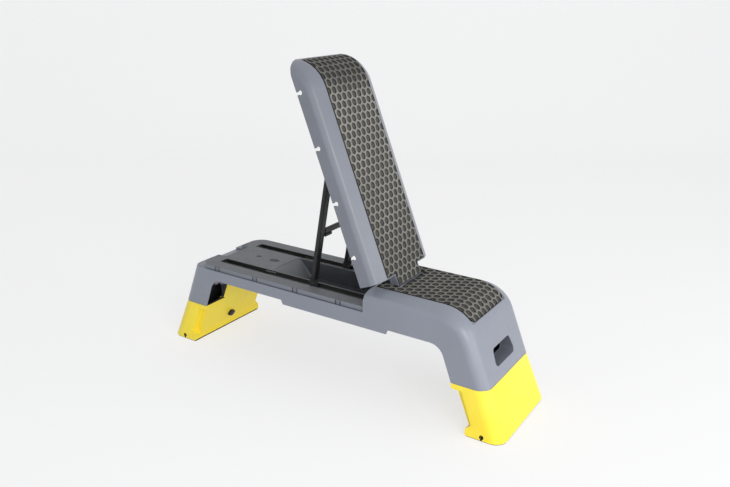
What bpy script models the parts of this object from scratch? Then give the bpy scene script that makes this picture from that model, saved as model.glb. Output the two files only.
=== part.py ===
"""Aerobic step whose deck lid lifts into an inclined backrest, on two folding legs.

Frame: origin on the floor under the middle of the step, +X towards the seat end,
+Y across the deck, +Z up. Metres. Modelled at rest with the back raised and the legs out.
"""
import math

import bmesh
import bpy
from mathutils import Matrix, Vector

# Driving dimensions of the whole step
LENGTH = 1.254            # floor length over both legs
HEIGHT = 0.350            # top of the deck when the legs are out
DECK_WIDTH = 0.312        # over the side walls
FOOT_WIDTH = 0.333        # over a leg at the floor
END_SLOPE = 0.402         # lean of both end faces, run per rise
SPLIT_Z = 0.1445          # where the grey legs stand on the folding legs
SHOULDER_R = 0.110        # round of the deck's ends, seen from the side
CORNER_R = 0.038          # round of the ends, seen from above

# Mouldings
WALL = 0.0035
GAP = 0.0005              # clearance between neighbouring pieces
TOOL_LAP = 0.0002         # the round corners' cutter stands this far off the flat faces
TRAY_DROP = 0.053         # tray top below the deck top
LEDGE_DROP = 0.068        # ledge that carries the skirt, below the deck top
SKIRT_ROOM = 0.0055       # the tray's upper part is this much narrower on each side
DECK_LOW_DROP = 0.1025    # lower edge of the side walls, below the deck top
BELLY_DROP = 0.1165       # lower edge of the deeper middle stretch
BELLY_LEFT_IN = 0.494     # left and right ends of that stretch, in from the step's ends at the floor
BELLY_RIGHT_IN = 0.371
BELLY_RAMP = 0.006
LEG_INNER_IN = 0.1655     # inner edge of a grey leg at the split, in from the step's end at the floor
LEG_INNER_SLOPE = 0.37
ARCH_R = 0.045            # round between a grey leg and the deck's lower edge
SEAT_LONG = 0.456         # from the seat's rear face to the right end at the floor
SEAT_REAR_R = 0.015
SEAT_ROOM = 0.0021        # between the closed lid and the seat, which the lid swings past
LID_SHORT = 0.0120        # the lid ends this far inside the step's left end
LID_END_ROOM = 0.0055     # the tray's left end is this much further in than its sides
LID_CORNER_R = 0.050      # round of the lid's end, seen from above
FINGER_HALF = 0.060       # recess in the tray's left end, through which the lid is lifted
FINGER_IN = 0.057
FINGER_DEEP = 0.008       # below the ledge

# Mats
MAT_HALF = 0.108
MAT_THICK = 0.0045
MAT_PROUD = 0.0015
MAT_CORNER_R = 0.024
MAT_RIM = 0.0008          # groove round a mat
TONGUE_LIP = 0.003        # tongue's bare edge beside its mat
SEAT_MAT_IN = 0.015       # seat mat's rear edge ahead of the seat's rear face
LID_MAT_IN = 0.006        # lid mat's wide part behind the same face
SEAT_MAT_TURN = 50.0      # degrees of the end round that the seat's mat covers
LID_MAT_TURN = 61.0       # and the lid's
BED_ROOM = 0.0003         # clearance under a mat

# Backrest and its hinge
HINGE_IN = 0.0485         # hinge axis ahead of the seat's rear face
HINGE_DROP = 0.0265       # hinge axis below the deck top
BACK_ANGLE = 68.2         # degrees that the back is raised from flat
TONGUE_HALF = 0.066
TONGUE_REACH = 0.013      # from the hinge axis to the tongue's end
TONGUE_THICK = 0.012
TONGUE_PLATE = 0.0085
HINGE_ROD_R = 0.005
HINGE_ROD_HALF = 0.100
HINGE_CAP_THICK = 0.003
KNUCKLE_R = 0.0105
KNUCKLE_IN = 0.030        # inner faces of the back's knuckles
KNUCKLE_SPLIT = 0.0705    # where the back's knuckles meet the seat's
KNUCKLE_OUT = 0.094
KNUCKLE_SEAT_IN = 0.074

# Band notches
BAND_FIRST = 0.140        # from the hinge axis to the first pair
BAND_LAST = 0.2217        # from the step's left end at the floor to the last pair
BAND_COUNT = 4
BAND_RISE = 0.0125        # hole centre above the skirt's edge
BAND_R = 0.0068
BAND_SLIT = 0.0080
MARK_HALF = 0.0085
MARK_WIDE = 0.0026
MARK_TALL = 0.011

# Slots and tub
SLOT_MID = 0.0905
SLOT_HALF = 0.0165
SLOT_FROM_END = 0.194     # slots' left ends, in from the step's left end at the floor
LEG_PASS = 0.0135         # height of the openings that let the folded prop's legs under the seat
LINER_WALL = 0.0022
LINER_DEEP = 0.034
LINER_NOTCHES = 9
LINER_NOTCH_STEP = 0.036
LINER_NOTCH_R = 0.0055
TUB_FROM_SLOT = 0.195     # tub's left end from the slots' left ends
TUB_FROM_SEAT = 0.005     # and its right end from the seat's rear face
TUB_HALF = 0.0700
TUB_WALL = 0.0025
TUB_SLOPE = 0.055         # run of the tub's sloping left end
TUB_DEEP = 0.060
TUB_BOSS_IN = 0.033       # outer screws of the tub, in from the ends of its floor
TUB_BOSS_SIDE = 0.010

# Prop
PROP_FROM_ROUND = 0.16837  # pivot from the start of the lid's end round, along the back
PROP_DROP = 0.0240        # and below the hinge axis with the lid shut
PROP_LEAN = 80.0          # degrees from level when its feet stand in the slots
PROP_TIP_DROP = 0.0112    # tip of the prop's steel below the tray top
PROP_X = 0.014            # flat tube, fore and aft
PROP_SET = SLOT_MID
CROSSBAR_UP = 0.191       # from the tip of the steel up to the crossbar
CROSSBAR_X = 0.009
CROSSBAR_OFF = 0.0036     # in front of the legs' middle, so that it folds down on the tray
CROSSBAR_Z = 0.018
SLEEVE_LONG = 0.034
PIVOT_ROD_R = 0.004
PIN_OVER = 0.0006          # a prop pin's end, past its bracket
FOOT_LONG = 0.030
FOOT_X = 0.019
FOOT_WALL = 0.00125       # rubber beside the flat tube
FOOT_ROOM = 0.00055       # between a foot and the liner on each side
FOOT_SOLE = 0.004
BRACKET_WALL = 0.0025
BRACKET_LONG = 0.042
BRACKET_LOW = 0.0085      # below the pin's middle
BRACKET_SCREW_R = 0.0032

# Folding legs
LEG_THICK = 0.0946        # between the outer and the inner sloping faces
SIDE_CUT_DEEP = 0.0200    # the sides are cut back this far from the inner face
CUT_TOP = 0.128
CUT_LOW = 0.036
PANEL_HALF = 0.140        # half width of the inner face between the cut-back sides
LEG_WALL = 0.004
SOLE_THICK = 0.0025
SOLE_INSET = 0.0015
TOE_IN = 0.111            # inner end of the toe, in from the step's end at the floor
FLANGE_IN = 0.166         # inner end of the collar, in from the same end
FLANGE_TALL = 0.013
LEG_PIVOT_IN = 0.1581     # hinge pin of a leg, in from the same end
LEG_PIVOT_UP = 0.065      # and above the split
NECK_HALF = 0.065
NECK_PLATE = 0.005
LEG_BARREL_R = 0.0125
LEG_PIN_R = 0.006
LUG_THICK = 0.006
LUG_ROOM = 0.0008
LUG_R = 0.017
NOTCH_X_FROM_TOE = 0.0495
SIDE_NOTCH = (0.0130, 0.0185)

# Latch knobs
KNOB_Z = 0.0545
KNOB_R = 0.0150
KNOB_TALL = 0.013
KNOB_SHAFT_R = 0.005
KNOB_SHAFT_LONG = 0.030
SPRING_WIRE = 0.0011
SPRING_R = 0.0078
SPRING_TURNS = 4
CLIP_THICK = 0.002

# Grey leg pads and handles
PAD_THICK = 0.0045
PAD_SIZE = (0.050, 0.022)
PAD_SET_X = 0.046         # pad's middle from the outer end face
PAD_SET_Y = 0.032         # and from the side
HANDLE_TOP_Z = 0.2256
HANDLE_LOW_Z = 0.1764
HANDLE_TOP_HALF = 0.0549
HANDLE_LOW_HALF = 0.0652
HANDLE_R = 0.012
HANDLE_WALL = 0.0025
HANDLE_DEEP = 0.040       # depth of the collar round the hand hole

# Places that follow from the values above
DECK_Z = HEIGHT
TRAY_Z = HEIGHT - TRAY_DROP
LEDGE_Z = HEIGHT - LEDGE_DROP
LOW_Z = HEIGHT - DECK_LOW_DROP
BELLY_Z = HEIGHT - BELLY_DROP
HINGE_Z = HEIGHT - HINGE_DROP
SIDE = DECK_WIDTH / 2
END = LENGTH / 2
SEAT_REAR_X = END - SEAT_LONG
SEAT_MAT_X = SEAT_REAR_X + SEAT_MAT_IN
HINGE_X = SEAT_REAR_X + HINGE_IN
BELLY_LEFT = BELLY_LEFT_IN - END
BELLY_RIGHT = END - BELLY_RIGHT_IN
LEG_INNER_X = END - LEG_INNER_IN
TOE_REACH_X = END - TOE_IN
FLANGE_X = END - FLANGE_IN
LEG_PIVOT_X = END - LEG_PIVOT_IN
LEG_PIVOT_Z = SPLIT_Z + LEG_PIVOT_UP
SLOT_LEFT = SLOT_FROM_END - END
TUB_LEFT = SLOT_LEFT + TUB_FROM_SLOT
TUB_RIGHT = SEAT_REAR_X - TUB_FROM_SEAT
BAND_STEP = (HINGE_X - BAND_FIRST + END - BAND_LAST) / (BAND_COUNT - 1)
FOOT_SIDE = FOOT_WIDTH / 2
SLANT = math.atan(END_SLOPE)
COS, SIN = math.cos(SLANT), math.sin(SLANT)
BACK = math.radians(BACK_ANGLE)
SLOT_IN = SLOT_MID - SLOT_HALF
SLOT_OUT = SLOT_MID + SLOT_HALF
BED = MAT_THICK - MAT_PROUD + BED_ROOM
HINGE = Vector((HINGE_X, 0, HINGE_Z))
SHOULDER_REACH = SHOULDER_R * math.tan((math.pi / 2 - SLANT) / 2)
ROUND_X = END - END_SLOPE * DECK_Z - SHOULDER_REACH
PROP_ALONG = HINGE_X + ROUND_X - PROP_FROM_ROUND
PIVOT_Z = HINGE_Z + PROP_ALONG * math.sin(BACK) - PROP_DROP * math.cos(BACK)
PROP_LENGTH = (PIVOT_Z - TRAY_Z + PROP_TIP_DROP) / math.sin(math.radians(PROP_LEAN))
CROSSBAR_ALONG = PROP_LENGTH - CROSSBAR_UP
FOOT_Y = 2 * (SLOT_HALF - GAP - LINER_WALL - FOOT_ROOM)
PROP_Y = FOOT_Y - 2 * FOOT_WALL

GREY = (0.215, 0.235, 0.275)
TRAY_GREY = (0.150, 0.158, 0.172)
MAT_GREY = (0.075, 0.070, 0.062)
YELLOW = (0.880, 0.640, 0.040)
BLACK = (0.012, 0.012, 0.013)
STEEL = (0.500, 0.500, 0.510)
FINISHES = {
    "shell": (GREY, 0.45, 0.0),
    "tub": (TRAY_GREY, 0.50, 0.0),
    "mat": (MAT_GREY, 0.75, 0.0),
    "yellow": (YELLOW, 0.40, 0.0),
    "black_steel": (BLACK, 0.35, 0.6),
    "black_plastic": (BLACK, 0.45, 0.0),
    "rubber": (BLACK, 0.85, 0.0),
    "steel": (STEEL, 0.30, 1.0),
}


def start_empty():
    """Remove what the scene holds, and the meshes nobody uses."""
    for item in list(bpy.data.objects):
        bpy.data.objects.remove(item, do_unlink=True)
    for mesh in list(bpy.data.meshes):
        if mesh.users == 0:
            bpy.data.meshes.remove(mesh)


def material(name):
    """One Principled material for each finish."""
    if name in bpy.data.materials:
        return bpy.data.materials[name]
    colour, roughness, metallic = FINISHES[name]
    made = bpy.data.materials.new(name)
    made.use_nodes = True
    shader = made.node_tree.nodes["Principled BSDF"]
    shader.inputs["Base Color"].default_value = (*colour, 1.0)
    shader.inputs["Roughness"].default_value = roughness
    shader.inputs["Metallic"].default_value = metallic
    return made


def new_object(name, bm, finish="shell"):
    """Turn a bmesh into a named object whose faces point out."""
    bmesh.ops.recalc_face_normals(bm, faces=bm.faces[:])
    mesh = bpy.data.meshes.new(name)
    bm.to_mesh(mesh)
    bm.free()
    made = bpy.data.objects.new(name, mesh)
    bpy.context.scene.collection.objects.link(made)
    made.data.materials.append(material(finish))
    return made


def shade(obj, angle=32):
    """Smooth the round faces and keep the corners."""
    obj.data.shade_smooth()
    obj.data.set_sharp_from_angle(angle=math.radians(angle))
    return obj


def loft(name, rings, finish="shell"):
    """Closed solid through rings of equally many points."""
    bm = bmesh.new()
    rows = [[bm.verts.new(p) for p in ring] for ring in rings]
    count = len(rows[0])
    for low, high in zip(rows, rows[1:]):
        for i in range(count):
            j = (i + 1) % count
            bm.faces.new((low[i], low[j], high[j], high[i]))
    bm.faces.new(list(reversed(rows[0])))
    bm.faces.new(rows[-1])
    return new_object(name, bm, finish)


def prism_y(name, outline, y0, y1, finish="shell"):
    """An outline in X and Z, drawn out along Y."""
    return loft(name, [[(x, y0, z) for x, z in outline], [(x, y1, z) for x, z in outline]], finish)


def prism_x(name, outline, x0, x1, finish="shell"):
    """An outline in Y and Z, drawn out along X."""
    return loft(name, [[(x0, y, z) for y, z in outline], [(x1, y, z) for y, z in outline]], finish)


def prism_z(name, outline, z0, z1, finish="shell"):
    """An outline in X and Y, drawn out along Z."""
    return loft(name, [[(x, y, z0) for x, y in outline], [(x, y, z1) for x, y in outline]], finish)


def box(name, low, high, finish="shell"):
    """A block between two corners."""
    outline = [(low[0], low[1]), (high[0], low[1]), (high[0], high[1]), (low[0], high[1])]
    return prism_z(name, outline, low[2], high[2], finish)


def tube_between(name, start, end, radius, sides=20, finish="steel"):
    """A round bar from one point to another."""
    start, end = Vector(start), Vector(end)
    axis = (end - start).normalized()
    side = axis.orthogonal().normalized()
    other = axis.cross(side)
    turns = [2 * math.pi * i / sides for i in range(sides)]
    ring = [(side * math.cos(a) + other * math.sin(a)) * radius for a in turns]
    return loft(name, [[start + p for p in ring], [end + p for p in ring]], finish)


def bar_y(name, x, z, y0, y1, radius, sides=20, finish="steel"):
    """A round bar along Y."""
    return tube_between(name, (x, y0, z), (x, y1, z), radius, sides, finish)


def arc(cx, cz, radius, start, end, steps):
    """Points of an arc, with its angles in degrees from +X."""
    turns = [math.radians(start + (end - start) * i / steps) for i in range(steps + 1)]
    return [(cx + radius * math.cos(a), cz + radius * math.sin(a)) for a in turns]


def rounded(points, radii, steps=4):
    """A polygon with its corners rounded, each by its own radius."""
    made = []
    count = len(points)
    for i, (point, radius) in enumerate(zip(points, radii)):
        here = Vector(point)
        back = Vector(points[i - 1]) - here
        ahead = Vector(points[(i + 1) % count]) - here
        half = back.angle(ahead) / 2
        if radius <= 0 or abs(half - math.pi / 2) < 1e-4:
            made.append(tuple(here))
            continue
        cut = min(radius / math.tan(half), 0.49 * back.length, 0.49 * ahead.length)
        size = cut * math.tan(half)
        centre = here + (back.normalized() + ahead.normalized()).normalized() * (size / math.sin(half))
        first = here + back.normalized() * cut - centre
        last = here + ahead.normalized() * cut - centre
        for k in range(steps + 1):
            share = k / steps
            turn = (1 - share) * first + share * last
            made.append(tuple(centre + turn.normalized() * size))
    return made


def combine(target, tools, operation):
    """Cut, join or keep with the tools, then drop them."""
    for tool in tools:
        step = target.modifiers.new("step", "BOOLEAN")
        step.operation = operation
        step.solver = "EXACT"
        step.object = tool
        bpy.context.view_layer.update()
        graph = bpy.context.evaluated_depsgraph_get()
        result = bpy.data.meshes.new_from_object(target.evaluated_get(graph))
        target.modifiers.clear()
        old = target.data
        target.data = result
        bpy.data.meshes.remove(old)
        bpy.data.objects.remove(tool, do_unlink=True)
    keep = target.data.materials[0]
    target.data.materials.clear()
    target.data.materials.append(keep)
    for face in target.data.polygons:
        face.material_index = 0
    return target


def cut(target, *tools):
    return combine(target, tools, "DIFFERENCE")


def join(target, *tools):
    return combine(target, tools, "UNION")


def keep(target, *tools):
    return combine(target, tools, "INTERSECT")


def end_x(z, inset=0.0):
    """Half length of the step's sloping end at a height."""
    return END - END_SLOPE * z - inset / COS


def shoulder(inset=0.0, low_z=None, steps=7):
    """The right end seen from the side: deck top, round, then the sloping face."""
    turn = math.degrees(math.pi / 2 - SLANT)
    points = arc(ROUND_X, DECK_Z - SHOULDER_R, SHOULDER_R - inset, 90, 90 - turn, steps)
    if low_z is not None:
        points = [p for p in points if p[1] > low_z + 0.002] + [(end_x(low_z, inset), low_z)]
    return points


def arch():
    """Inner edge of the right grey leg, from the split up to the deck's lower edge."""
    top_x = LEG_INNER_X - LEG_INNER_SLOPE * (LOW_Z - SPLIT_Z)
    outline = [(LEG_INNER_X, SPLIT_Z), (top_x, LOW_Z), (top_x - 0.2, LOW_Z)]
    return rounded(outline, [0, ARCH_R, 0], 5)[1:-1]


def base_side():
    """Outline of the base seen from the side, anticlockwise from the right leg."""
    right = shoulder(0, SPLIT_Z)
    seat = arc(SEAT_REAR_X + SEAT_REAR_R, DECK_Z - SEAT_REAR_R, SEAT_REAR_R, 180, 90, 4)
    left_low = [(-x, z) for x, z in reversed(arch())]
    outline = [(LEG_INNER_X, SPLIT_Z)] + arch()
    outline += [(BELLY_RIGHT, LOW_Z), (BELLY_RIGHT - BELLY_RAMP, BELLY_Z)]
    outline += [(BELLY_LEFT + BELLY_RAMP, BELLY_Z), (BELLY_LEFT, LOW_Z)]
    outline += left_low + [(-LEG_INNER_X, SPLIT_Z), (-end_x(SPLIT_Z), SPLIT_Z)]
    outline += [(-end_x(TRAY_Z), TRAY_Z), (SEAT_REAR_X, TRAY_Z)] + seat
    return outline + right


def edge_profile(inset=0.0):
    """Half of the deck's cross-section, from its side inwards: distance from the middle, drop below the top."""
    side = SIDE - inset
    corners = [(side, 0.1), (side, 0.031), (side - 0.0105, 0.0155), (MAT_HALF + 0.003, inset), (0, inset)]
    return rounded(corners, [0, 0.012, 0.012, 0.02, 0], 3)[1:-1]


def drop_at(profile, y):
    """Drop below the deck top at a distance from the middle, read off an edge profile."""
    for (outer, deep), (inner, high) in zip(profile, profile[1:]):
        if y >= inner:
            return high + (deep - high) * min(1.0, (y - inner) / (outer - inner))
    return profile[-1][1]


def edge_rings(inset, corner_r):
    """Places across the step, each with the skin's drop at the deck top and its inset at the end faces."""
    side, corner = SIDE - inset, corner_r - inset
    profile = edge_profile(inset)
    places = {round(y, 6) for y, _ in profile}
    places |= {round(side - corner + corner * math.sin(math.pi / 12 * i), 6) for i in range(1, 7)}
    rings = []
    for y in sorted(places):
        past = max(0.0, y - (side - corner))
        end_in = inset + COS * (corner - math.sqrt(max(0.0, corner ** 2 - past ** 2)))
        rings.append((y, drop_at(profile, y), end_in))
    return rings


def end_path(drop, end_in, steps=8, low_z=-0.02):
    """The skin at one place across the right end, seen from the side: from the deck top down the end face."""
    turn = math.pi / 2 - SLANT
    path = []
    for i in range(steps + 1):
        share = i / steps
        ease = share * share * (3 - 2 * share)
        reach = SHOULDER_R - drop - (end_in - drop) * ease
        angle = math.pi / 2 - turn * share
        path.append((ROUND_X + reach * math.cos(angle), DECK_Z - SHOULDER_R + reach * math.sin(angle)))
    return path + [(end_x(low_z, end_in), low_z)]


def skin(name, inset=0.0, lid=False):
    """Everything inside the step's outer skin, whose rounded edges run on round both ends."""
    rings = edge_rings(inset, LID_CORNER_R if lid else CORNER_R)
    rings = [(-y, drop, end_in) for y, drop, end_in in reversed(rings)] + rings
    rows = []
    for y, drop, end_in in rings:
        right = end_path(drop, end_in)
        if lid:
            left = [(LID_SHORT - x, z) for x, z in reversed(right)]
        else:
            left = [(-end_x(-0.02, end_in), -0.02), (-end_x(DECK_Z - drop, end_in), DECK_Z - drop)]
        rows.append([(x, y, z) for x, z in left + right])
    return loft(name, rows)


def plan(z, inset=0.0, side=SIDE):
    """The step's outline seen from above at a height, with its round corners."""
    x, y = end_x(z, inset), side - inset
    corners = [(-x, -y), (x, -y), (x, y), (-x, y)]
    return [(px, py, z) for px, py in rounded(corners, [CORNER_R - inset] * 4, 6)]


def deck_block(name, outline, inset=0.0, lid=False):
    """A side outline drawn out across the deck, with the round edges and corners of the skin."""
    side = SIDE - inset
    made = prism_y(name, outline, -side, side)
    return keep(made, skin("cutter", inset - TOOL_LAP, lid))


def add_rib(target, low, high, lid=False):
    """A rib between two corners, kept inside the skin."""
    rib = keep(box("rib", low, high), skin("cutter", WALL / 2, lid))
    join(target, rib)


def hollow_outline():
    """Side outline of the space inside the base, open at the bottom."""
    right = shoulder(WALL, -0.01)
    rear = SEAT_REAR_X + WALL
    seat = arc(rear + SEAT_REAR_R - WALL, DECK_Z - SEAT_REAR_R, SEAT_REAR_R - WALL, 180, 90, 3)
    under = TRAY_Z - WALL
    outline = [(-end_x(-0.01, WALL), -0.01), (-end_x(under, WALL), under), (rear, under)]
    return outline + seat + right


def make_base_shell():
    """Tray, side walls, seat and both grey legs in one moulding."""
    shell = deck_block("base_shell", base_side())
    cut(shell, ledge_ring(LEDGE_Z, SKIRT_ROOM, SEAT_REAR_X), finger_recess())
    room = deck_block("cutter", hollow_outline(), WALL)
    cut(room, ledge_ring(LEDGE_Z - WALL, SKIRT_ROOM + WALL, SEAT_REAR_X + WALL), finger_recess(WALL),
        seat_mat_block("cutter", WALL, -BED - WALL, 0.02))
    cut(shell, room)
    add_ribs(shell)
    cut_tongue_well(shell)
    cut_slots(shell)
    add_leg_lugs(shell)
    add_pad_plates(shell)
    cut_handles(shell)
    cut_band_marks(shell)
    cut(shell, cut(seat_mat_block("cutter", MAT_RIM, -BED, 0.02), tongue_gap(0.0)))
    cut_tray_details(shell)
    bore_holes(shell)
    return shade(shell)


def ledge_ring(low, inset, end):
    """What is cut off round the tray's upper part, so that the closed lid's skirt fits over it."""
    ring = box("cutter", (-LENGTH, -SIDE - 0.02, low), (end, SIDE + 0.02, TRAY_Z + 0.01))
    return cut(ring, loft("cutter", [tray_plan(z, inset) for z in (low - 0.01, TRAY_Z + 0.02)]))


def tray_plan(z, inset):
    """Outline of the tray's upper part, inside the lid's end and sides."""
    left, right, y = LID_SHORT - end_x(z, inset + LID_END_ROOM), end_x(z, inset), SIDE - inset
    corners = [(left, -y), (right, -y), (right, y), (left, y)]
    return [(px, py, z) for px, py in rounded(corners, [LID_CORNER_R - inset] * 4, 6)]


def finger_recess(grow=0.0):
    """The middle of the tray's left end, cut down so that fingers reach under the lid."""
    inner, half = FINGER_IN - end_x(TRAY_Z) + grow, FINGER_HALF + grow
    corners = [(-LENGTH, -half), (inner, -half), (inner, half), (-LENGTH, half)]
    outline = rounded(corners, [0, 0.014 + grow, 0.014 + grow, 0], 4)
    return prism_z("cutter", outline, LEDGE_Z - FINGER_DEEP - grow, TRAY_Z + 0.01)


def add_ribs(shell):
    """Walls beside the slots and cross ribs that stiffen the hollow base."""
    top, low = TRAY_Z - WALL / 2, TRAY_Z - LINER_DEEP
    for sign in (-1, 1):
        edge = sorted((sign * SLOT_OUT, sign * (SLOT_OUT + WALL)))
        join(shell, box("rib", (SLOT_LEFT - WALL, edge[0], low), (SEAT_REAR_X + WALL, edge[1], top)))
    join(shell, box("rib", (SLOT_LEFT - WALL, -SLOT_OUT - WALL / 2, low),
                    (SLOT_LEFT, SLOT_OUT + WALL / 2, top)))
    for x in (0.157 - END, 0.282 - END):
        outer = SIDE - WALL / 2
        for sign in (-1, 1):
            edge = sorted((sign * (SLOT_OUT + WALL / 2), sign * outer))
            add_rib(shell, (x, edge[0], LOW_Z + 0.012), (x + 0.003, edge[1], LEDGE_Z))
    for x in (0.352 - END, END - 0.282, END - 0.222):
        half = SLOT_IN - 0.008 if x < 0 else SIDE - WALL / 2
        high = TRAY_Z - WALL / 2 if x < 0 else DECK_Z - 0.02
        add_rib(shell, (x, -half, high - 0.045), (x + 0.003, half, high))
    for sign in (-1, 1):
        edge = sorted((sign * 0.045, sign * 0.048))
        join(shell, box("rib", (END - 0.327, edge[0], DECK_Z - 0.050), (END - 0.187, edge[1], DECK_Z - 0.002)))


def cut_tongue_well(shell):
    """Opening in the seat that clears the turning tongue, and the seat's hinge knuckles."""
    swing = math.hypot(TONGUE_REACH, DECK_Z - HINGE_Z) + 0.0015
    half = TONGUE_HALF + 0.004
    cut(shell, box("cutter", (SEAT_REAR_X - 0.01, -half, HINGE_Z - 0.024), (HINGE_X + swing, half, DECK_Z + 0.01)))
    low = HINGE_Z - KNUCKLE_R - 0.006
    for sign in (-1, 1):
        edge = sorted((sign * KNUCKLE_SEAT_IN, sign * KNUCKLE_OUT))
        neck = box("rib", (HINGE_X - 0.006, edge[0], HINGE_Z), (HINGE_X + 0.006, edge[1], DECK_Z - WALL / 2))
        knuckle = bar_y("rib", HINGE_X, HINGE_Z, edge[0], edge[1], KNUCKLE_R, 20, "shell")
        join(neck, knuckle)
        join(shell, neck)
    floor = box("rib", (HINGE_X + swing - 0.0001, -half, low), (HINGE_X + swing + WALL, half, DECK_Z - WALL / 2))
    join(shell, floor)


def cut_slots(shell):
    """The two long slots, open right through, and the mouth of the tub between them."""
    for sign in (-1, 1):
        edge = sorted((sign * SLOT_IN, sign * SLOT_OUT))
        cut(shell, box("cutter", (SLOT_LEFT, edge[0], TRAY_Z - 0.012), (SEAT_REAR_X + 0.012, edge[1], TRAY_Z + 0.0105)))
        over = sorted((sign * (SLOT_IN + 0.001), sign * (SLOT_OUT - 0.001)))
        cut(shell, box("cutter", (SEAT_REAR_X - 0.02, over[0], TRAY_Z - 0.05),
                       (SEAT_REAR_X + 0.01, over[1], TRAY_Z + LEG_PASS)))
    mouth = rounded([(TUB_LEFT, -TUB_HALF), (TUB_RIGHT, -TUB_HALF), (TUB_RIGHT, TUB_HALF), (TUB_LEFT, TUB_HALF)],
                    [0.012] * 4, 3)
    cut(shell, prism_z("cutter", mouth, TRAY_Z - 0.02, TRAY_Z + 0.01))


def add_leg_lugs(shell):
    """Plates inside the grey legs that carry the hinge pins of the folding legs."""
    for side in (-1, 1):
        x = side * LEG_PIVOT_X
        top = TRAY_Z - WALL / 2 if side < 0 else DECK_Z - 0.045
        for sign in (-1, 1):
            edge = sorted((sign * (NECK_HALF + LUG_ROOM), sign * (NECK_HALF + LUG_ROOM + LUG_THICK)))
            outline = [(x - LUG_R, LEG_PIVOT_Z), (x - LUG_R, top), (x + LUG_R, top), (x + LUG_R, LEG_PIVOT_Z)]
            round_low = arc(x, LEG_PIVOT_Z, LUG_R, 0, -180, 8)[1:-1]
            plate = prism_y("rib", outline + round_low, edge[0], edge[1])
            join(shell, plate)
        if side > 0:
            span = NECK_HALF + LUG_ROOM + LUG_THICK
            join(shell, box("rib", (x - LUG_R, -span, top - 0.004), (x + LUG_R, span, DECK_Z - 0.035)))
            join(shell, box("rib", (x - 0.0015, -span, top - 0.004), (x + 0.0015, span, DECK_Z - 0.012)))


def handle_outline(grow=0.0):
    corners = [(-HANDLE_LOW_HALF - grow, HANDLE_LOW_Z - grow), (HANDLE_LOW_HALF + grow, HANDLE_LOW_Z - grow),
               (HANDLE_TOP_HALF + grow, HANDLE_TOP_Z + grow), (-HANDLE_TOP_HALF - grow, HANDLE_TOP_Z + grow)]
    return rounded(corners, [HANDLE_R + grow] * 4, 4)


def cut_handles(shell):
    """A hand hole in each sloping end, with a collar that runs inwards round it."""
    collar = prism_x("rib", handle_outline(HANDLE_WALL), -LENGTH, LENGTH)
    keep(collar, loft("cutter", [plan(-0.01, WALL / 2), plan(DECK_Z, WALL / 2)]))
    cut(collar, loft("cutter", [plan(-0.02, HANDLE_DEEP), plan(DECK_Z + 0.01, HANDLE_DEEP)]))
    join(shell, collar)
    for side in (-1, 1):
        reach = sorted((side * (END - 0.15), side * END))
        cut(shell, prism_x("cutter", handle_outline(), reach[0], reach[1]))


def band_places():
    return [HINGE_X - BAND_FIRST - BAND_STEP * i for i in range(BAND_COUNT)]


def cut_band_marks(shell):
    """Pairs of upright slits in the tray's sides, next to the skirt's band notches."""
    for x in band_places():
        for sign in (-1, 1):
            edge = sorted((sign * (SIDE - SKIRT_ROOM - WALL - 0.001), sign * (SIDE - SKIRT_ROOM + 0.001)))
            for offset in (-MARK_HALF, MARK_HALF):
                cut(shell, box("cutter", (x + offset - MARK_WIDE / 2, edge[0], LEDGE_Z + 0.0008),
                               (x + offset + MARK_WIDE / 2, edge[1], LEDGE_Z + MARK_TALL)))


def mat_block(name, rear_x, round_x, turn, grow, low, high):
    """A mat from its rear edge over the end round, between two offsets from the deck surface."""
    cx, cz = round_x, DECK_Z - SHOULDER_R
    turn += math.degrees(grow / SHOULDER_R)
    upper = arc(cx, cz, SHOULDER_R + high, 90, 90 - turn, 8)
    lower = arc(cx, cz, SHOULDER_R + low, 90 - turn, 90, 8)
    outline = [(rear_x - grow, DECK_Z + low), (rear_x - grow, DECK_Z + high)] + upper + lower
    half = MAT_HALF + grow
    made = prism_y(name, outline, -half, half, "mat")
    end = cx + (SHOULDER_R + high) * math.sin(math.radians(turn)) + 0.001
    corners = [(rear_x - grow, -half), (end, -half), (end, half), (rear_x - grow, half)]
    radii = [0.004, MAT_CORNER_R, MAT_CORNER_R, 0.004]
    return keep(made, prism_z("cutter", rounded(corners, radii, 4), DECK_Z - 0.15, DECK_Z + 0.02))


def tongue_gap(grow):
    """Plan block that keeps the seat's mat clear of the tongue."""
    swing = math.hypot(TONGUE_REACH, DECK_Z - HINGE_Z) + 0.0015
    half = TONGUE_HALF + 0.004 + grow
    return box("cutter", (SEAT_REAR_X - 0.02, -half, DECK_Z - 0.02), (HINGE_X + swing + grow, half, DECK_Z + 0.02))


def cut_tray_details(shell):
    """Shallow marks in the tray: two dimples, a slot, a round hole and an oval recess."""
    top = TRAY_Z + 0.01
    x = 0.153 - END
    for y in (-0.071, 0.071):
        cut(shell, tube_between("cutter", (x, y, TRAY_Z - 0.0015), (x, y, top), 0.007, 14))
    x = 0.270 - END
    cut(shell, tube_between("cutter", (x, 0.004, TRAY_Z - 0.002), (x, 0.004, top), 0.006, 14))
    x0, x1 = 0.323 - END, 0.355 - END
    oval = rounded([(x0, -0.008), (x1, -0.008), (x1, 0.012), (x0, 0.012)], [0.0099] * 4, 5)
    cut(shell, prism_z("cutter", oval, TRAY_Z - 0.002, top))


def bore_holes(shell):
    """Holes for the hinge rod and the two leg pins."""
    reach = KNUCKLE_OUT + 0.004
    cut(shell, bar_y("cutter", HINGE_X, HINGE_Z, -reach, reach, HINGE_ROD_R + 0.0003, 20))
    span = NECK_HALF + LUG_ROOM + LUG_THICK + 0.003
    for side in (-1, 1):
        cut(shell, bar_y("cutter", side * LEG_PIVOT_X, LEG_PIVOT_Z, -span, span, LEG_PIN_R + 0.0003, 20))


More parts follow.
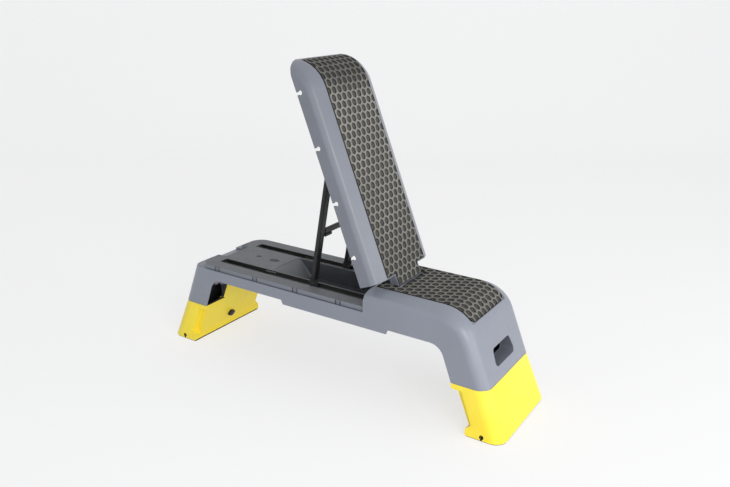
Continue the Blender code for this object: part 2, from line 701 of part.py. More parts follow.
def make_liners():
    """Black liners that line the slots, with a row of round notches in their upper edges."""
    top, low = TRAY_Z + 0.0008, TRAY_Z - LINER_DEEP
    room = GAP
    for label, sign in (("near", -1), ("far", 1)):
        y0, y1 = sign * SLOT_MID - SLOT_HALF + room, sign * SLOT_MID + SLOT_HALF - room
        x0, x1 = SLOT_LEFT + room, SEAT_REAR_X - 0.0005
        liner = box("slot_liner_" + label, (x0, y0, low), (x1, y1, top), "black_plastic")
        inside = rounded([(x0 + LINER_WALL, y0 + LINER_WALL), (x1 + 0.01, y0 + LINER_WALL),
                          (x1 + 0.01, y1 - LINER_WALL), (x0 + LINER_WALL, y1 - LINER_WALL)],
                         [0.004, 0, 0, 0.004], 3)
        cut(liner, prism_z("cutter", inside, low - 0.01, top + 0.01))
        pivot_x = HINGE_X - PROP_ALONG
        cut(liner, box("cutter", (pivot_x - 0.018, y0 - 0.001, HINGE_Z - PROP_DROP - BRACKET_LOW - GAP),
                       (pivot_x + BRACKET_LONG - 0.014, y1 + 0.001, top + 0.01)))
        for i in range(LINER_NOTCHES):
            x = SLOT_LEFT + 0.045 + LINER_NOTCH_STEP * i
            for y in (y0, y1):
                cut(liner, bar_y("cutter", x, TRAY_Z - 0.010, y - 0.001 if y == y0 else y - LINER_WALL / 2,
                                 y + LINER_WALL / 2 if y == y0 else y + 0.001, LINER_NOTCH_R, 12))
        shade(liner)


def tub_screw_places():
    """The tub's screws: two at each end of its floor and two in the middle."""
    first, last = TUB_LEFT + TUB_SLOPE + TUB_BOSS_IN, TUB_RIGHT - TUB_BOSS_IN
    return [(x, sign * (TUB_HALF - TUB_BOSS_SIDE)) for x in (first, (first + last) / 2, last) for sign in (-1, 1)]


def make_tub():
    """Storage tub that hangs in the base between the slots."""
    floor = TRAY_Z - TUB_DEEP
    y = TUB_HALF - GAP

    def ring(z, inset, rim=0.0):
        left = TUB_LEFT + GAP + inset + TUB_SLOPE * (TRAY_Z - z) / TUB_DEEP - rim
        right = TUB_RIGHT - GAP - inset + rim
        half = y - inset + rim
        corners = [(left, -half), (right, -half), (right, half), (left, half)]
        return [(px, py, z) for px, py in rounded(corners, [0.0115] * 4, 3)]

    tub = loft("storage_tub", [ring(floor, 0), ring(TRAY_Z - 0.001, 0)], "tub")
    cut(tub, loft("cutter", [ring(floor + TUB_WALL, TUB_WALL), ring(TRAY_Z + 0.001, TUB_WALL)]))
    for x, boss_y in tub_screw_places():
        join(tub, tube_between("rib", (x, boss_y, floor + 0.0005), (x, boss_y, floor + 0.006), 0.006, 12, "tub"))
    return shade(tub)


def seat_mat_block(name, grow, low, high):
    return mat_block(name, SEAT_MAT_X, ROUND_X, SEAT_MAT_TURN, grow, low, high)


def make_seat_mat():
    mat = seat_mat_block("seat_mat", 0.0, MAT_PROUD - MAT_THICK, MAT_PROUD)
    return shade(cut(mat, tongue_gap(0.001)))


def raise_back(obj):
    """Turn a piece that was modelled with the lid shut up to the rest angle, about the hinge."""
    obj.data.transform(Matrix.Translation(-HINGE))
    obj.location = HINGE
    obj.rotation_euler = (0, BACK, 0)
    return obj


def back_outline(inset=0.0, low_z=None):
    """Side outline of the closed lid, from its hinge end to the step's left end."""
    low = LEDGE_Z + GAP if low_z is None else low_z
    end = [(LID_SHORT - x, z) for x, z in shoulder(inset, low)]
    rear = SEAT_REAR_X - SEAT_ROOM - inset
    return [(rear, low), (rear, DECK_Z - inset)] + end


def make_backrest():
    """The lid: a shell with a deep skirt, a hinge tongue and band notches."""
    lid = deck_block("backrest_shell", back_outline(), lid=True)
    room = deck_block("cutter", back_outline(WALL, LEDGE_Z - 0.03), WALL, True)
    cut(room, lid_mat_block("cutter", WALL, -BED - WALL, 0.02))
    cut(lid, room)
    cut(lid, box("cutter", (SEAT_REAR_X - 0.012, -TONGUE_HALF - 0.002, LEDGE_Z - 0.01),
                 (SEAT_REAR_X + 0.01, TONGUE_HALF + 0.002, DECK_Z - TONGUE_THICK)))
    over_tray = SIDE - SKIRT_ROOM + 0.0016
    cut(lid, box("cutter", (SEAT_REAR_X - 0.012, -over_tray, LEDGE_Z - 0.01),
                 (SEAT_REAR_X + 0.01, over_tray, TRAY_Z + 0.0015)))
    for sign in (-1, 1):
        edge = sorted((sign * (SLOT_IN - 0.002), sign * (SLOT_OUT + 0.001)))
        cut(lid, box("cutter", (SEAT_REAR_X - 0.012, edge[0], LEDGE_Z - 0.01),
                     (SEAT_REAR_X + 0.01, edge[1], TRAY_Z + LEG_PASS + 0.006)))
    tongue = box("rib", (HINGE_X - 0.075, -TONGUE_HALF, DECK_Z - TONGUE_PLATE),
                 (HINGE_X - TONGUE_REACH, TONGUE_HALF, DECK_Z))
    join(lid, tongue)
    for sign in (-1, 1):
        edge = sorted((sign * KNUCKLE_IN, sign * (KNUCKLE_SPLIT - 0.006)))
        arm = [(HINGE_X - 0.060, DECK_Z - 0.004), (HINGE_X - 0.060, DECK_Z - 0.020), (HINGE_X - 0.004, HINGE_Z - 0.008),
               (HINGE_X + 0.004, HINGE_Z), (HINGE_X - TONGUE_REACH - 0.0005, DECK_Z - 0.004)]
        hinge_arm = prism_y("rib", arm, edge[0], edge[1])
        join(hinge_arm, bar_y("rib", HINGE_X, HINGE_Z, edge[0], edge[1], KNUCKLE_R, 20, "shell"))
        join(lid, hinge_arm)
    for x in band_places():
        cut_band_notch(lid, x)
    add_lid_ribs(lid)
    cut(lid, lid_mat_block("cutter", MAT_RIM, -BED, 0.02))
    cut(lid, bar_y("cutter", HINGE_X, HINGE_Z, -KNUCKLE_OUT, KNUCKLE_OUT, HINGE_ROD_R + 0.0003, 20))
    return raise_back(shade(lid))


def cut_band_notch(lid, x):
    """A round hole near the skirt's edge with a slit out to the edge, on both sides."""
    hole_z = LEDGE_Z + BAND_RISE
    for sign in (-1, 1):
        edge = sorted((sign * (SIDE - 0.02), sign * (SIDE + 0.01)))
        hole = bar_y("cutter", x, hole_z, edge[0], edge[1], BAND_R, 14)
        slit = box("cutter", (x - BAND_SLIT / 2, edge[0], LEDGE_Z - 0.01), (x + BAND_SLIT / 2, edge[1], hole_z))
        cut(lid, join(hole, slit))


def add_lid_ribs(lid):
    """Ribs under the lid, clear of the folded prop and of the tray."""
    low = TRAY_Z + 0.014
    pivot_x = HINGE_X - PROP_ALONG
    first, last = pivot_x + 0.0836, SEAT_REAR_X - 0.051
    places = [pivot_x - 0.1564, pivot_x - 0.0464] + [first + (last - first) * i / 3 for i in range(4)]
    for sign in (-1, 1):
        edge = sorted((sign * 0.124, sign * 0.127))
        add_rib(lid, (0.187 - END, edge[0], low), (SEAT_REAR_X - 0.031, edge[1], DECK_Z - 0.003), True)
    for x in places:
        add_rib(lid, (x, -0.126, DECK_Z - 0.022), (x + 0.003, 0.126, DECK_Z - 0.003), True)
    for sign in (-1, 1):
        edge = sorted((sign * 0.040, sign * 0.043))
        join(lid, box("rib", (places[0] - 0.002, edge[0], DECK_Z - 0.022), (last + 0.002, edge[1], DECK_Z - 0.003)))


def lid_mat_block(name, grow, low, high):
    """The mat over the closed lid, with its narrow end on the tongue."""
    rear = LID_MAT_IN - SEAT_REAR_X
    made = mat_block(name, rear, ROUND_X - LID_SHORT, LID_MAT_TURN, grow, low, high)
    made.data.transform(Matrix.Scale(-1, 4, (1, 0, 0)))
    made.data.flip_normals()
    strip_half = TONGUE_HALF - TONGUE_LIP + grow
    strip = box("cutter", (SEAT_REAR_X - 0.030, -strip_half, DECK_Z + low),
                (HINGE_X - TONGUE_REACH - TONGUE_LIP + grow, strip_half, DECK_Z + high))
    return join(made, strip)


def make_back_mat():
    return raise_back(shade(lid_mat_block("backrest_mat", 0.0, MAT_PROUD - MAT_THICK, MAT_PROUD)))


def make_hinge_rod():
    """Steel rod through the lid's and the seat's knuckles, with a push-on cap at each end."""
    half = HINGE_ROD_HALF
    shade(bar_y("hinge_rod", HINGE_X, HINGE_Z, -half, half, HINGE_ROD_R, 20))
    for label, sign in (("near", -1), ("far", 1)):
        inner = sign * (KNUCKLE_OUT + GAP)
        edge = sorted((inner, sign * (half + HINGE_CAP_THICK)))
        cap = bar_y("hinge_cap_" + label, HINGE_X, HINGE_Z, edge[0], edge[1], 0.009, 18, "black_plastic")
        hole = sorted((inner - sign * 0.001, sign * (half + 0.0003)))
        shade(cut(cap, bar_y("cutter", HINGE_X, HINGE_Z, hole[0], hole[1], HINGE_ROD_R + 0.0003, 20)))


def prop_pivot():
    """Where the prop's pivot rod sits at rest."""
    along = Vector((-math.cos(BACK), 0, math.sin(BACK)))
    below = Vector((-math.sin(BACK), 0, -math.cos(BACK)))
    return HINGE + along * PROP_ALONG + below * PROP_DROP


def hang_prop(obj):
    """Turn a piece drawn with the prop pointing straight down from its pivot."""
    obj.location = prop_pivot()
    obj.rotation_euler = (0, math.radians(90 - PROP_LEAN), 0)
    return obj


def make_prop():
    """Two flat tube legs, a crossbar with a sleeve block, the pivot rod and two feet."""
    half_x, half_y = PROP_X / 2, PROP_Y / 2
    for label, sign in (("near", -1), ("far", 1)):
        y = sign * PROP_SET
        corners = [(-half_x, y - half_y), (half_x, y - half_y), (half_x, y + half_y), (-half_x, y + half_y)]
        leg = prism_z("prop_leg_" + label, rounded(corners, [0.0025] * 4, 2), -PROP_LENGTH, half_x, "black_steel")
        cut(leg, bar_y("cutter", 0, 0, y - 0.02, y + 0.02, PIVOT_ROD_R + 0.0003, 16))
        hang_prop(shade(leg))
        foot_top, foot_low = FOOT_LONG - PROP_LENGTH, -PROP_LENGTH - FOOT_SOLE
        corners = [(-FOOT_X / 2, y - FOOT_Y / 2), (FOOT_X / 2, y - FOOT_Y / 2),
                   (FOOT_X / 2, y + FOOT_Y / 2), (-FOOT_X / 2, y + FOOT_Y / 2)]
        foot = prism_z("prop_foot_" + label, rounded(corners, [0.004] * 4, 3), foot_low, foot_top, "rubber")
        grip = 0.0003
        corners = [(-half_x - grip, y - half_y - grip), (half_x + grip, y - half_y - grip),
                   (half_x + grip, y + half_y + grip), (-half_x - grip, y + half_y + grip)]
        cut(foot, prism_z("cutter", rounded(corners, [0.0025] * 4, 2), -PROP_LENGTH - grip, foot_top + 0.01))
        hang_prop(shade(foot))
    inner = PROP_SET - half_y - 0.0003
    x0, x1 = CROSSBAR_OFF - CROSSBAR_X / 2, CROSSBAR_OFF + CROSSBAR_X / 2
    z0, z1 = -CROSSBAR_ALONG - CROSSBAR_Z / 2, -CROSSBAR_ALONG + CROSSBAR_Z / 2
    corners = [(x0, z0), (x1, z0), (x1, z1), (x0, z1)]
    bar = prism_y("prop_crossbar", rounded(corners, [0.002] * 4, 2), -inner, inner, "black_steel")
    hang_prop(shade(bar))
    low = z0 - 0.0003
    sleeve = box("prop_sleeve", (x0, -inner, low - 0.008), (x1 + 0.002, SLEEVE_LONG - inner, low), "black_plastic")
    hang_prop(sleeve)
    reach = half_y + 0.0008 + BRACKET_WALL + PIN_OVER
    for label, sign in (("near", -1), ("far", 1)):
        y = sign * PROP_SET
        hang_prop(shade(bar_y("prop_pin_" + label, 0, 0, y - reach, y + reach, PIVOT_ROD_R, 16)))


def make_brackets():
    """Steel channels under the lid that carry the prop's rod, each held by two screws."""
    pivot_x, pivot_z = HINGE_X - PROP_ALONG, HINGE_Z - PROP_DROP
    top = DECK_Z - BED - WALL - 0.0003
    for label, sign in (("near", -1), ("far", 1)):
        y = sign * PROP_SET
        inner = PROP_Y / 2 + 0.0008
        outer = inner + BRACKET_WALL
        x0, x1 = pivot_x - 0.016, pivot_x - 0.016 + BRACKET_LONG
        low = pivot_z - BRACKET_LOW
        bracket = box("prop_bracket_" + label, (x0, y - outer, low), (x1, y + outer, top), "black_steel")
        cut(bracket, box("cutter", (x0 - 0.01, y - inner, pivot_z - 0.02), (x1 + 0.01, y + inner, top - 0.003)))
        cheek = [(x1 + 0.001, low - 0.001), (x1 + 0.001, top - 0.006), (pivot_x + 0.010, low - 0.001)]
        cut(bracket, prism_y("cutter", cheek, y - 0.03, y + 0.03))
        cut(bracket, bar_y("cutter", pivot_x, pivot_z, y - 0.03, y + 0.03, PIVOT_ROD_R + 0.0003, 16))
        raise_back(shade(bracket))
        for i, x in enumerate((x0 + 0.008, x1 - 0.008)):
            name = "bracket_screw_%s_%d" % (label, i + 1)
            head = tube_between(name, (x, y, top - 0.0033), (x, y, top - 0.0058), BRACKET_SCREW_R, 12)
            raise_back(shade(head))


def panel_x(z):
    """Inner face of a folding leg, which runs on up the neck."""
    return end_x(z) - LEG_THICK / COS


def leg_half(z):
    """Half width of a folding leg at a height."""
    return FOOT_SIDE + (SIDE - FOOT_SIDE) * z / SPLIT_Z


def leg_plan(z, x0, x1, half, inset=0.0):
    corners = [(x0 + inset, -half + inset), (x1 - inset, -half + inset),
               (x1 - inset, half - inset), (x0 + inset, half - inset)]
    radii = [0.004, CORNER_R - inset, CORNER_R - inset, 0.004]
    return [(px, py, z) for px, py in rounded(corners, radii, 6)]


def leg_block(name, outline, inset=0.0, finish="yellow"):
    """A side outline drawn out across the leg, with the leg's flare and round outer corners."""
    made = prism_y(name, outline, -FOOT_SIDE - 0.01, FOOT_SIDE + 0.01, finish)
    rings = [leg_plan(z, FLANGE_X - 0.05, end_x(z, inset - TOOL_LAP), leg_half(z) - inset)
             for z in (-0.01, SPLIT_Z + 0.01)]
    return keep(made, loft("cutter", rings))


def make_leg(label, side):
    """Hollow foot with a collar on top, cut back at the sides, and a neck up to its hinge."""
    top, low = SPLIT_Z - GAP, SOLE_THICK
    toe_top = (panel_x(0) - TOE_REACH_X) / END_SLOPE
    outline = [(end_x(low), low), (end_x(top), top), (FLANGE_X, top), (FLANGE_X + 0.002, top - FLANGE_TALL),
               (panel_x(top - FLANGE_TALL - 0.004), top - FLANGE_TALL - 0.004),
               (TOE_REACH_X, toe_top), (TOE_REACH_X, low + 0.003), (TOE_REACH_X + 0.004, low)]
    leg = leg_block("leg_" + label, outline)
    side_cut = rounded([(side_cut_x(CUT_TOP), CUT_TOP), (side_cut_x(CUT_LOW), CUT_LOW),
                        (TOE_REACH_X - 0.001, CUT_LOW - 0.014), (FLANGE_X - 0.03, CUT_LOW - 0.014),
                        (FLANGE_X - 0.03, CUT_TOP + 0.001)], [0.004, 0.004, 0, 0, 0], 3)
    for sign in (-1, 1):
        edge = sorted((sign * PANEL_HALF, sign * (FOOT_SIDE + 0.02)))
        cut(leg, prism_y("cutter", side_cut, edge[0], edge[1]))
    flush = [(FLANGE_X - 0.01, top - 0.03), (panel_x(top - 0.03), top - 0.03),
             (panel_x(top + 0.01), top + 0.01), (FLANGE_X - 0.01, top + 0.01)]
    cut(leg, prism_y("cutter", flush, -NECK_HALF, NECK_HALF))
    floor = low + LEG_WALL
    wide = [(end_x(floor, LEG_WALL), floor), (end_x(top + 0.001, LEG_WALL), top + 0.001),
            (side_cut_x(top) + LEG_WALL, top + 0.001), (side_cut_x(floor) + LEG_WALL, floor)]
    cut(leg, leg_block("cutter", wide, LEG_WALL))
    middle = [(end_x(floor, LEG_WALL) - 0.01, floor), (end_x(top + 0.001, LEG_WALL) - 0.01, top + 0.001),
              (panel_x(top) + LEG_WALL / COS, top + 0.001), (panel_x(floor) + LEG_WALL / COS, floor)]
    cut(leg, prism_y("cutter", middle, -PANEL_HALF + LEG_WALL, PANEL_HALF - LEG_WALL))
    join(leg, neck(top))
    cut(leg, bar_y("cutter", LEG_PIVOT_X, LEG_PIVOT_Z, -0.08, 0.08, LEG_PIN_R + 0.0003, 20))
    place = TOE_REACH_X + NOTCH_X_FROM_TOE
    hole_z = SIDE_NOTCH[1] - SIDE_NOTCH[0] / 2
    for sign in (-1, 1):
        edge = sorted((sign * (leg_half(0) - 0.008), sign * (leg_half(0) + 0.01)))
        hole = bar_y("cutter", place, hole_z, edge[0], edge[1], SIDE_NOTCH[0] / 2, 14)
        slit = box("cutter", (place - 0.0025, edge[0], -0.01), (place + 0.0025, edge[1], hole_z))
        cut(leg, join(hole, slit))
    face = knob_face()
    out = Vector((-COS, 0, -SIN))
    cut(leg, tube_between("cutter", face + out * 0.01, face - out * 0.012, KNOB_SHAFT_R + 0.0004, 18))
    return place_leg(shade(leg), side)


def side_cut_x(z):
    """Inner edge of a leg's near and far side, behind the inner face."""
    return panel_x(z) + SIDE_CUT_DEEP / COS


def neck(top):
    """The inner face carried on upwards, with gussets to the hinge barrel."""
    low_z, high_z = top - 0.020, LEG_PIVOT_Z - 0.004
    plate = prism_y("rib", [(panel_x(low_z), low_z), (panel_x(high_z), high_z),
                            (panel_x(high_z) + NECK_PLATE / COS, high_z), (panel_x(low_z) + NECK_PLATE / COS, low_z)],
                    -NECK_HALF, NECK_HALF, "yellow")
    outline = [(panel_x(low_z) + 0.001, low_z), (panel_x(high_z) + 0.001, high_z),
               (LEG_PIVOT_X - 0.004, LEG_PIVOT_Z + LEG_BARREL_R - 0.001),
               (LEG_PIVOT_X + LEG_BARREL_R - 0.001, LEG_PIVOT_Z - 0.002),
               (LEG_PIVOT_X + 0.006, top + 0.010), (panel_x(low_z) + 0.024, low_z)]
    for inner in (NECK_HALF - LEG_WALL, 0.018):
        for sign in (-1, 1):
            edge = sorted((sign * inner, sign * (inner + LEG_WALL)))
            join(plate, prism_y("rib", outline, edge[0], edge[1], "yellow"))
    return join(plate, bar_y("rib", LEG_PIVOT_X, LEG_PIVOT_Z, -NECK_HALF, NECK_HALF, LEG_BARREL_R, 20, "yellow"))


def knob_face():
    """Point on the leg's inner face in the middle of the knob."""
    return Vector((panel_x(KNOB_Z), 0, KNOB_Z))


def place_leg(obj, side):
    """Give a piece of the right leg its hinge as origin, turned round for the left leg."""
    obj.data.transform(Matrix.Translation((-LEG_PIVOT_X, 0, -LEG_PIVOT_Z)))
    obj.location = (side * LEG_PIVOT_X, 0, LEG_PIVOT_Z)
    if side < 0:
        obj.rotation_euler = (0, 0, math.pi)
    return obj


def make_leg_fittings(label, side):
    """Hinge pin, sole, and the knob with its shaft, spring and clip."""
    span = NECK_HALF + LUG_ROOM + LUG_THICK + 0.002
    pin = bar_y("leg_pin_" + label, side * LEG_PIVOT_X, LEG_PIVOT_Z, -span, span, LEG_PIN_R, 20)
    shade(pin)
    sole = loft("leg_sole_" + label, [leg_plan(z, TOE_REACH_X, end_x(0), FOOT_SIDE, SOLE_INSET)
                                      for z in (0.0, SOLE_THICK - 0.0003)], "rubber")
    place_leg(shade(sole), side)
    face = knob_face()
    out = Vector((-COS, 0, -SIN))
    knob = lathe_knob("latch_knob_" + label, face, out)
    place_leg(shade(knob, 40), side)
    inside = face - out * (LEG_WALL + 0.0004)
    spring_long = 0.0165
    place_leg(shade(coil("latch_spring_" + label, inside, -out, spring_long), 60), side)
    clip_at = inside - out * (spring_long + 0.0006)
    clip = tube_between("latch_clip_" + label, clip_at, clip_at - out * CLIP_THICK, 0.0090, 18, "steel")
    cut(clip, tube_between("cutter", clip_at + out * 0.01, clip_at - out * 0.01, KNOB_SHAFT_R + 0.0003, 18))
    place_leg(shade(clip), side)


def lathe_knob(name, face, out):
    """A turned knob with its shaft, profile by profile along the axis."""
    profile = [(-KNOB_SHAFT_LONG, KNOB_SHAFT_R), (0.0004, KNOB_SHAFT_R), (0.0004, KNOB_R * 0.92),
               (0.0030, KNOB_R), (KNOB_TALL - 0.004, KNOB_R), (KNOB_TALL - 0.001, KNOB_R * 0.90),
               (KNOB_TALL, KNOB_R * 0.72)]
    side = out.orthogonal().normalized()
    other = out.cross(side)
    turns = [2 * math.pi * i / 24 for i in range(24)]
    rings = [[face + out * along + (side * math.cos(a) + other * math.sin(a)) * radius for a in turns]
             for along, radius in profile]
    return loft(name, rings, "black_plastic")


def coil(name, start, axis, length, sides=6, per_turn=12):
    """A compression spring as one closed wire."""
    side = axis.orthogonal().normalized()
    other = axis.cross(side)
    steps = SPRING_TURNS * per_turn
    run = length - 2 * SPRING_WIRE
    rings = []
    for i in range(steps + 1):
        a = 2 * math.pi * i / per_turn
        radial = side * math.cos(a) + other * math.sin(a)
        centre = start + axis * (SPRING_WIRE + run * i / steps) + radial * SPRING_R
        turns = [2 * math.pi * k / sides for k in range(sides)]
        rings.append([centre + (radial * math.cos(b) + axis * math.sin(b)) * SPRING_WIRE for b in turns])
    return loft(name, rings, "steel")


def pad_place(side, sign):
    """Middle of a rubber pad, seen from above."""
    return side * (end_x(SPLIT_Z) - PAD_SET_X), sign * (SIDE - PAD_SET_Y)


def add_pad_plates(shell):
    """Plates across the foot of each grey leg, which carry the rubber pads."""
    for side in (-1, 1):
        for sign in (-1, 1):
            x, y = pad_place(side, sign)
            reach = sorted((x - side * PAD_SIZE[0] / 2, side * (end_x(SPLIT_Z) - WALL / 2)))
            edge = sorted((y - sign * (PAD_SIZE[1] / 2 + 0.001), sign * (SIDE - WALL / 2)))
            plate = box("rib", (reach[0], edge[0], SPLIT_Z), (reach[1], edge[1], SPLIT_Z + 0.003))
            keep(plate, loft("cutter", [plan(-0.01, WALL / 2), plan(DECK_Z, WALL / 2)]))
            join(shell, plate)


def make_pads():
    """Rubber pads under the grey legs, which carry the step at its low height."""
    size_x, size_y = PAD_SIZE
    for end, side in (("right", 1), ("left", -1)):
        for label, sign in (("near", -1), ("far", 1)):
            x, y = pad_place(side, sign)
            corners = [(x - size_x / 2, y - size_y / 2), (x + size_x / 2, y - size_y / 2),
                       (x + size_x / 2, y + size_y / 2), (x - size_x / 2, y + size_y / 2)]
            shade(prism_z("low_pad_%s_%s" % (end, label), rounded(corners, [0.006] * 4, 3), SPLIT_Z - PAD_THICK,
                          SPLIT_Z - 0.0003, "rubber"))


def make_tub_screws():
    """Screws up through the tub's floor bosses."""
    floor = TRAY_Z - TUB_DEEP
    for i, (x, y) in enumerate(tub_screw_places()):
        name = "tub_screw_%d" % (i + 1)
        shade(tube_between(name, (x, y, floor - 0.0028), (x, y, floor - 0.0003), 0.004, 12))


def build():
    start_empty()
    make_base_shell()
    make_tub()
    make_liners()
    make_seat_mat()
    make_pads()
    make_hinge_rod()
    make_backrest()
    make_back_mat()
    make_brackets()
    make_prop()
    for label, side in (("right", 1), ("left", -1)):
        make_leg(label, side)
        make_leg_fittings(label, side)
    make_tub_screws()


build()
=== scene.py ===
"""Looks of a folding aerobic step, built round its CAD frame.

Laid out as a Blender add-on and run as a script. Each operator makes one group of like pieces,
the panel lists them, and main() calls them in order. Metres, in the frame's own place: +X towards
the seat end, +Y across the deck, +Z up, with the back raised and both legs out.
"""
import math

import bmesh
import bpy
from mathutils import Matrix, Vector


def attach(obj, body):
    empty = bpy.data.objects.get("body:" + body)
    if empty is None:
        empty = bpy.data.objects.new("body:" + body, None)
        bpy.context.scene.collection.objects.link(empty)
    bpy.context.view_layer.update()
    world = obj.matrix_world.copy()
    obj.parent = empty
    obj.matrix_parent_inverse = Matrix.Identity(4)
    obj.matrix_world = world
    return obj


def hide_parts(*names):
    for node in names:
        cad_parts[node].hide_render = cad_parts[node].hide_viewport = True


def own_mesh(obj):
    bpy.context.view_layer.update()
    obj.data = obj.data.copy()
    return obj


bl_info = {
    "name": "Aerobic step",
    "version": (1, 0, 0),
    "blender": (4, 5, 0),
    "location": "View3D > Sidebar > Step",
    "description": "Moulded deck, dimpled mats, folding legs and prop of an aerobic step",
    "category": "Add Mesh",
}

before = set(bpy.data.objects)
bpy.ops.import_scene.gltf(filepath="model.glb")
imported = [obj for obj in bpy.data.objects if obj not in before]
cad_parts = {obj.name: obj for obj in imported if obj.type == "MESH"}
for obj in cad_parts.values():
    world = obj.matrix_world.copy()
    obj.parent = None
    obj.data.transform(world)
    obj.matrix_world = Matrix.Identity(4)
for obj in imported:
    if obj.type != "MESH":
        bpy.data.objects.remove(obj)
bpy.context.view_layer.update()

# Shape of the step, as the CAD has it
HALF_LENGTH = 0.627
END_SLOPE = 0.402
DECK_Z = 0.350
TRAY_Z = 0.297
LEDGE_Z = 0.282
DECK_HALF = 0.156
TRAY_HALF = 0.1505
SHELL_WALL = 0.0035
HANDLE_HALF = 0.069
HANDLE_TOP_Z = 0.229
HANDLE_DEEP = 0.041
LEG_THICK = 0.0946
SPLIT_Z = 0.1445
SLOT_Y = 0.0905
SLOT_HALF = 0.0168
SLOT_LEFT_X = -0.434
SLOT_LOW_Z = 0.240
SHOULDER_R = 0.110
SEAT_REAR_X = 0.171
TUB_SCREWS = 6
HINGE = Vector((0.2195, 0.0, 0.3235))
BACK_TURN = math.radians(68.2)
SLANT = math.atan(END_SLOPE)
PANEL_X = HALF_LENGTH - LEG_THICK / math.cos(SLANT)
ROUND_X = HALF_LENGTH - END_SLOPE * DECK_Z - SHOULDER_R * math.tan((math.pi / 2 - SLANT) / 2)

# Marks painted on as shade: the tray's recesses as dark ovals, the slits in its wall as pairs of dark lines
# with the groove at its foot, and the legs' keyholes
TRAY_RECESS_SHADE = ((-0.357, 0.004, 0.0100, 0.0085), (-0.288, 0.002, 0.0200, 0.0130))
NOTCH_X = 0.0795
NOTCH_STEP = 0.1616
LINE_OFF = 0.0085
LINE_HALF = 0.0022
FOOT_LINE_HIGH = 0.0016
FOOT_LINE_WIDE = 0.0018
KEYHOLE_X = 0.5655
KEYHOLE_Z = 0.0120
KEYHOLE_R = 0.0067
KEYHOLE_SLIT = 0.0027

# Masks: how far each reaches past its face, how thick a skin it takes in, and how a face is turned
SLACK = 0.001
TRAY_SKIN = 0.003
WALL_SKIN = 0.002
HAIR = 0.0004
PANEL_SKIN = 0.0012
SPLIT_SKIN = 0.0008
SIDE_SHARE = 0.6
END_SHARE = 0.8
LEVEL_FADE = (0.45, 0.85)
LOOKS_DOWN = -0.6
LEG_INSIDE = -0.012
TUB_LEANS = 0.4

# Mats
MAT_HALF = 0.108
MAT_THICK = 0.0045
MAT_PROUD = 0.0015
MAT_CORNER_R = 0.024
MAT_TRIM = 0.0010
MAT_RIM = 0.0009
RIM_DROP = 0.0007
RIM_FADE = (0.0006, 0.0030)
RIM_PAINTED_SHADOW = (0.0012, 0.0028)
UNDERSIDE = -1.0
HEX_SLANT = (0.866, 0.5)
SEAT_MAT_TURN = math.radians(50.0)
LID_MAT_TURN = math.radians(61.0)
LID_SHORT = 0.012
SEAT_MAT_X = 0.186
SEAT_PIT_X = 0.3227
LID_PIT_OFF = 0.3845
SEAT_GAP_HALF = 0.071
SEAT_GAP_X = 0.2515
LID_MAT_X = 0.165
TONGUE_MAT_HALF = 0.063
TONGUE_MAT_X = 0.2035

# Painted light and shade on the mats by height: its tones, and the heights between which one turns into the
# other
MAT_PAINTED_LIGHT = ((0.88, 1.14, 0.42, 0.66), (1.0, 0.52, 0.875, 0.930))

# Knobs on the folding legs: where they stand, and steps along their axis with the radius of each
KNOB_Z = 0.0545
KNOB_R = 0.0150
KNOB_SHAFT_R = 0.005
KNOB_TURN = math.radians(-20.0)
KNOB_SQUARE = 1.25
KNOB_NARROW = 1.25
KNOB_FACES = 48
KNOB_STEPS = (
    (-0.0300, 0.33), (-0.0040, 0.33), (0.0004, 0.33), (0.0004, 0.90), (0.0012, 0.97),
    (0.0030, 1.00), (0.0085, 0.99), (0.0106, 0.93), (0.0118, 0.83), (0.0122, 0.70),
    (0.0112, 0.58), (0.0110, 0.50), (0.0126, 0.40), (0.0130, 0.20))

# Edges: the angle from which one stays crisp, and how copies of CAD nodes are merged and rounded
CRISP = math.radians(30.0)
MAT_CRISP = math.radians(50.0)
KNOB_CRISP = math.radians(35.0)
ROUNDED_FROM = math.radians(28.0)
ROUND_STEPS = 2
THIN_ROUND = 0.5
BRACKET_ROUND = 0.6
MERGE = 0.00001
COPLANAR = math.radians(0.15)

# Noise: the middle part that is spread, and its waves to the metre in moulded plastic
NOISE_LOW = 0.3
NOISE_HIGH = 0.7
WAVINESS = 9.0
CLOUDS = 5.0
SPECKS = 900.0
FINE_GRAIN = 1400.0
COARSE_GRAIN = 420.0
SHEEN_PATCHES = 38.0

# Roughness of each finish, from its smoothest patches to its roughest
SHELL_SHEEN = (0.38, 0.49)
TRAY_DULLER = 0.16
TUB_SHEEN = (0.42, 0.56)
MAT_SHEEN = (0.56, 0.70)
LEG_SHEEN = (0.32, 0.42)
PLASTIC_SHEEN = (0.40, 0.58)
PAINT_SHEEN = (0.34, 0.44)
RUBBER_SHEEN = (0.72, 0.88)
STEEL_SHEEN = (0.22, 0.38)
LID_GLAZE = 0.50
DECK_GLAZE = 0.36
GLAZE_ROUGHNESS = 0.34

# Tones of the paper as it is seen and of the room's light, as linear colours
EVEN_TONE = (1.0, 1.0, 1.0)
ROOM_TONE = (0.96, 0.98, 1.0)

# Backdrop, along the view: its near edge, where it starts to bend up, the bend, the wall and the sides
PAPER_NEAR = -6.0
PAPER_REACH = 3.0
PAPER_BEND = 1.2
PAPER_TOP = 5.0
PAPER_HALF = 8.0
BEND_STEPS = 12

# Lamps: name, width, place and the point that each one faces
LAMPS = (
    ("key", 2.0, (2.9, -2.0, 1.5), (0.1, 0.0, 0.3)),
    ("side", 1.6, (3.1, 0.4, 0.9), (0.0, 0.0, 0.3)),
    ("top", 3.0, (-0.3, 0.4, 3.2), (0.0, 0.0, 0.2)))

# Where the photograph was taken from: place, then azimuth, elevation and roll in degrees
CAMERA_PLACE = (1.2383, -1.7915, 1.1758)
CAMERA_TURN = (32.96, 19.27, 0.37)
SENSOR_WIDTH = 36.0

# What every colour property has in common
COLOUR = {"subtype": "COLOR", "size": 3, "min": 0, "max": 1}


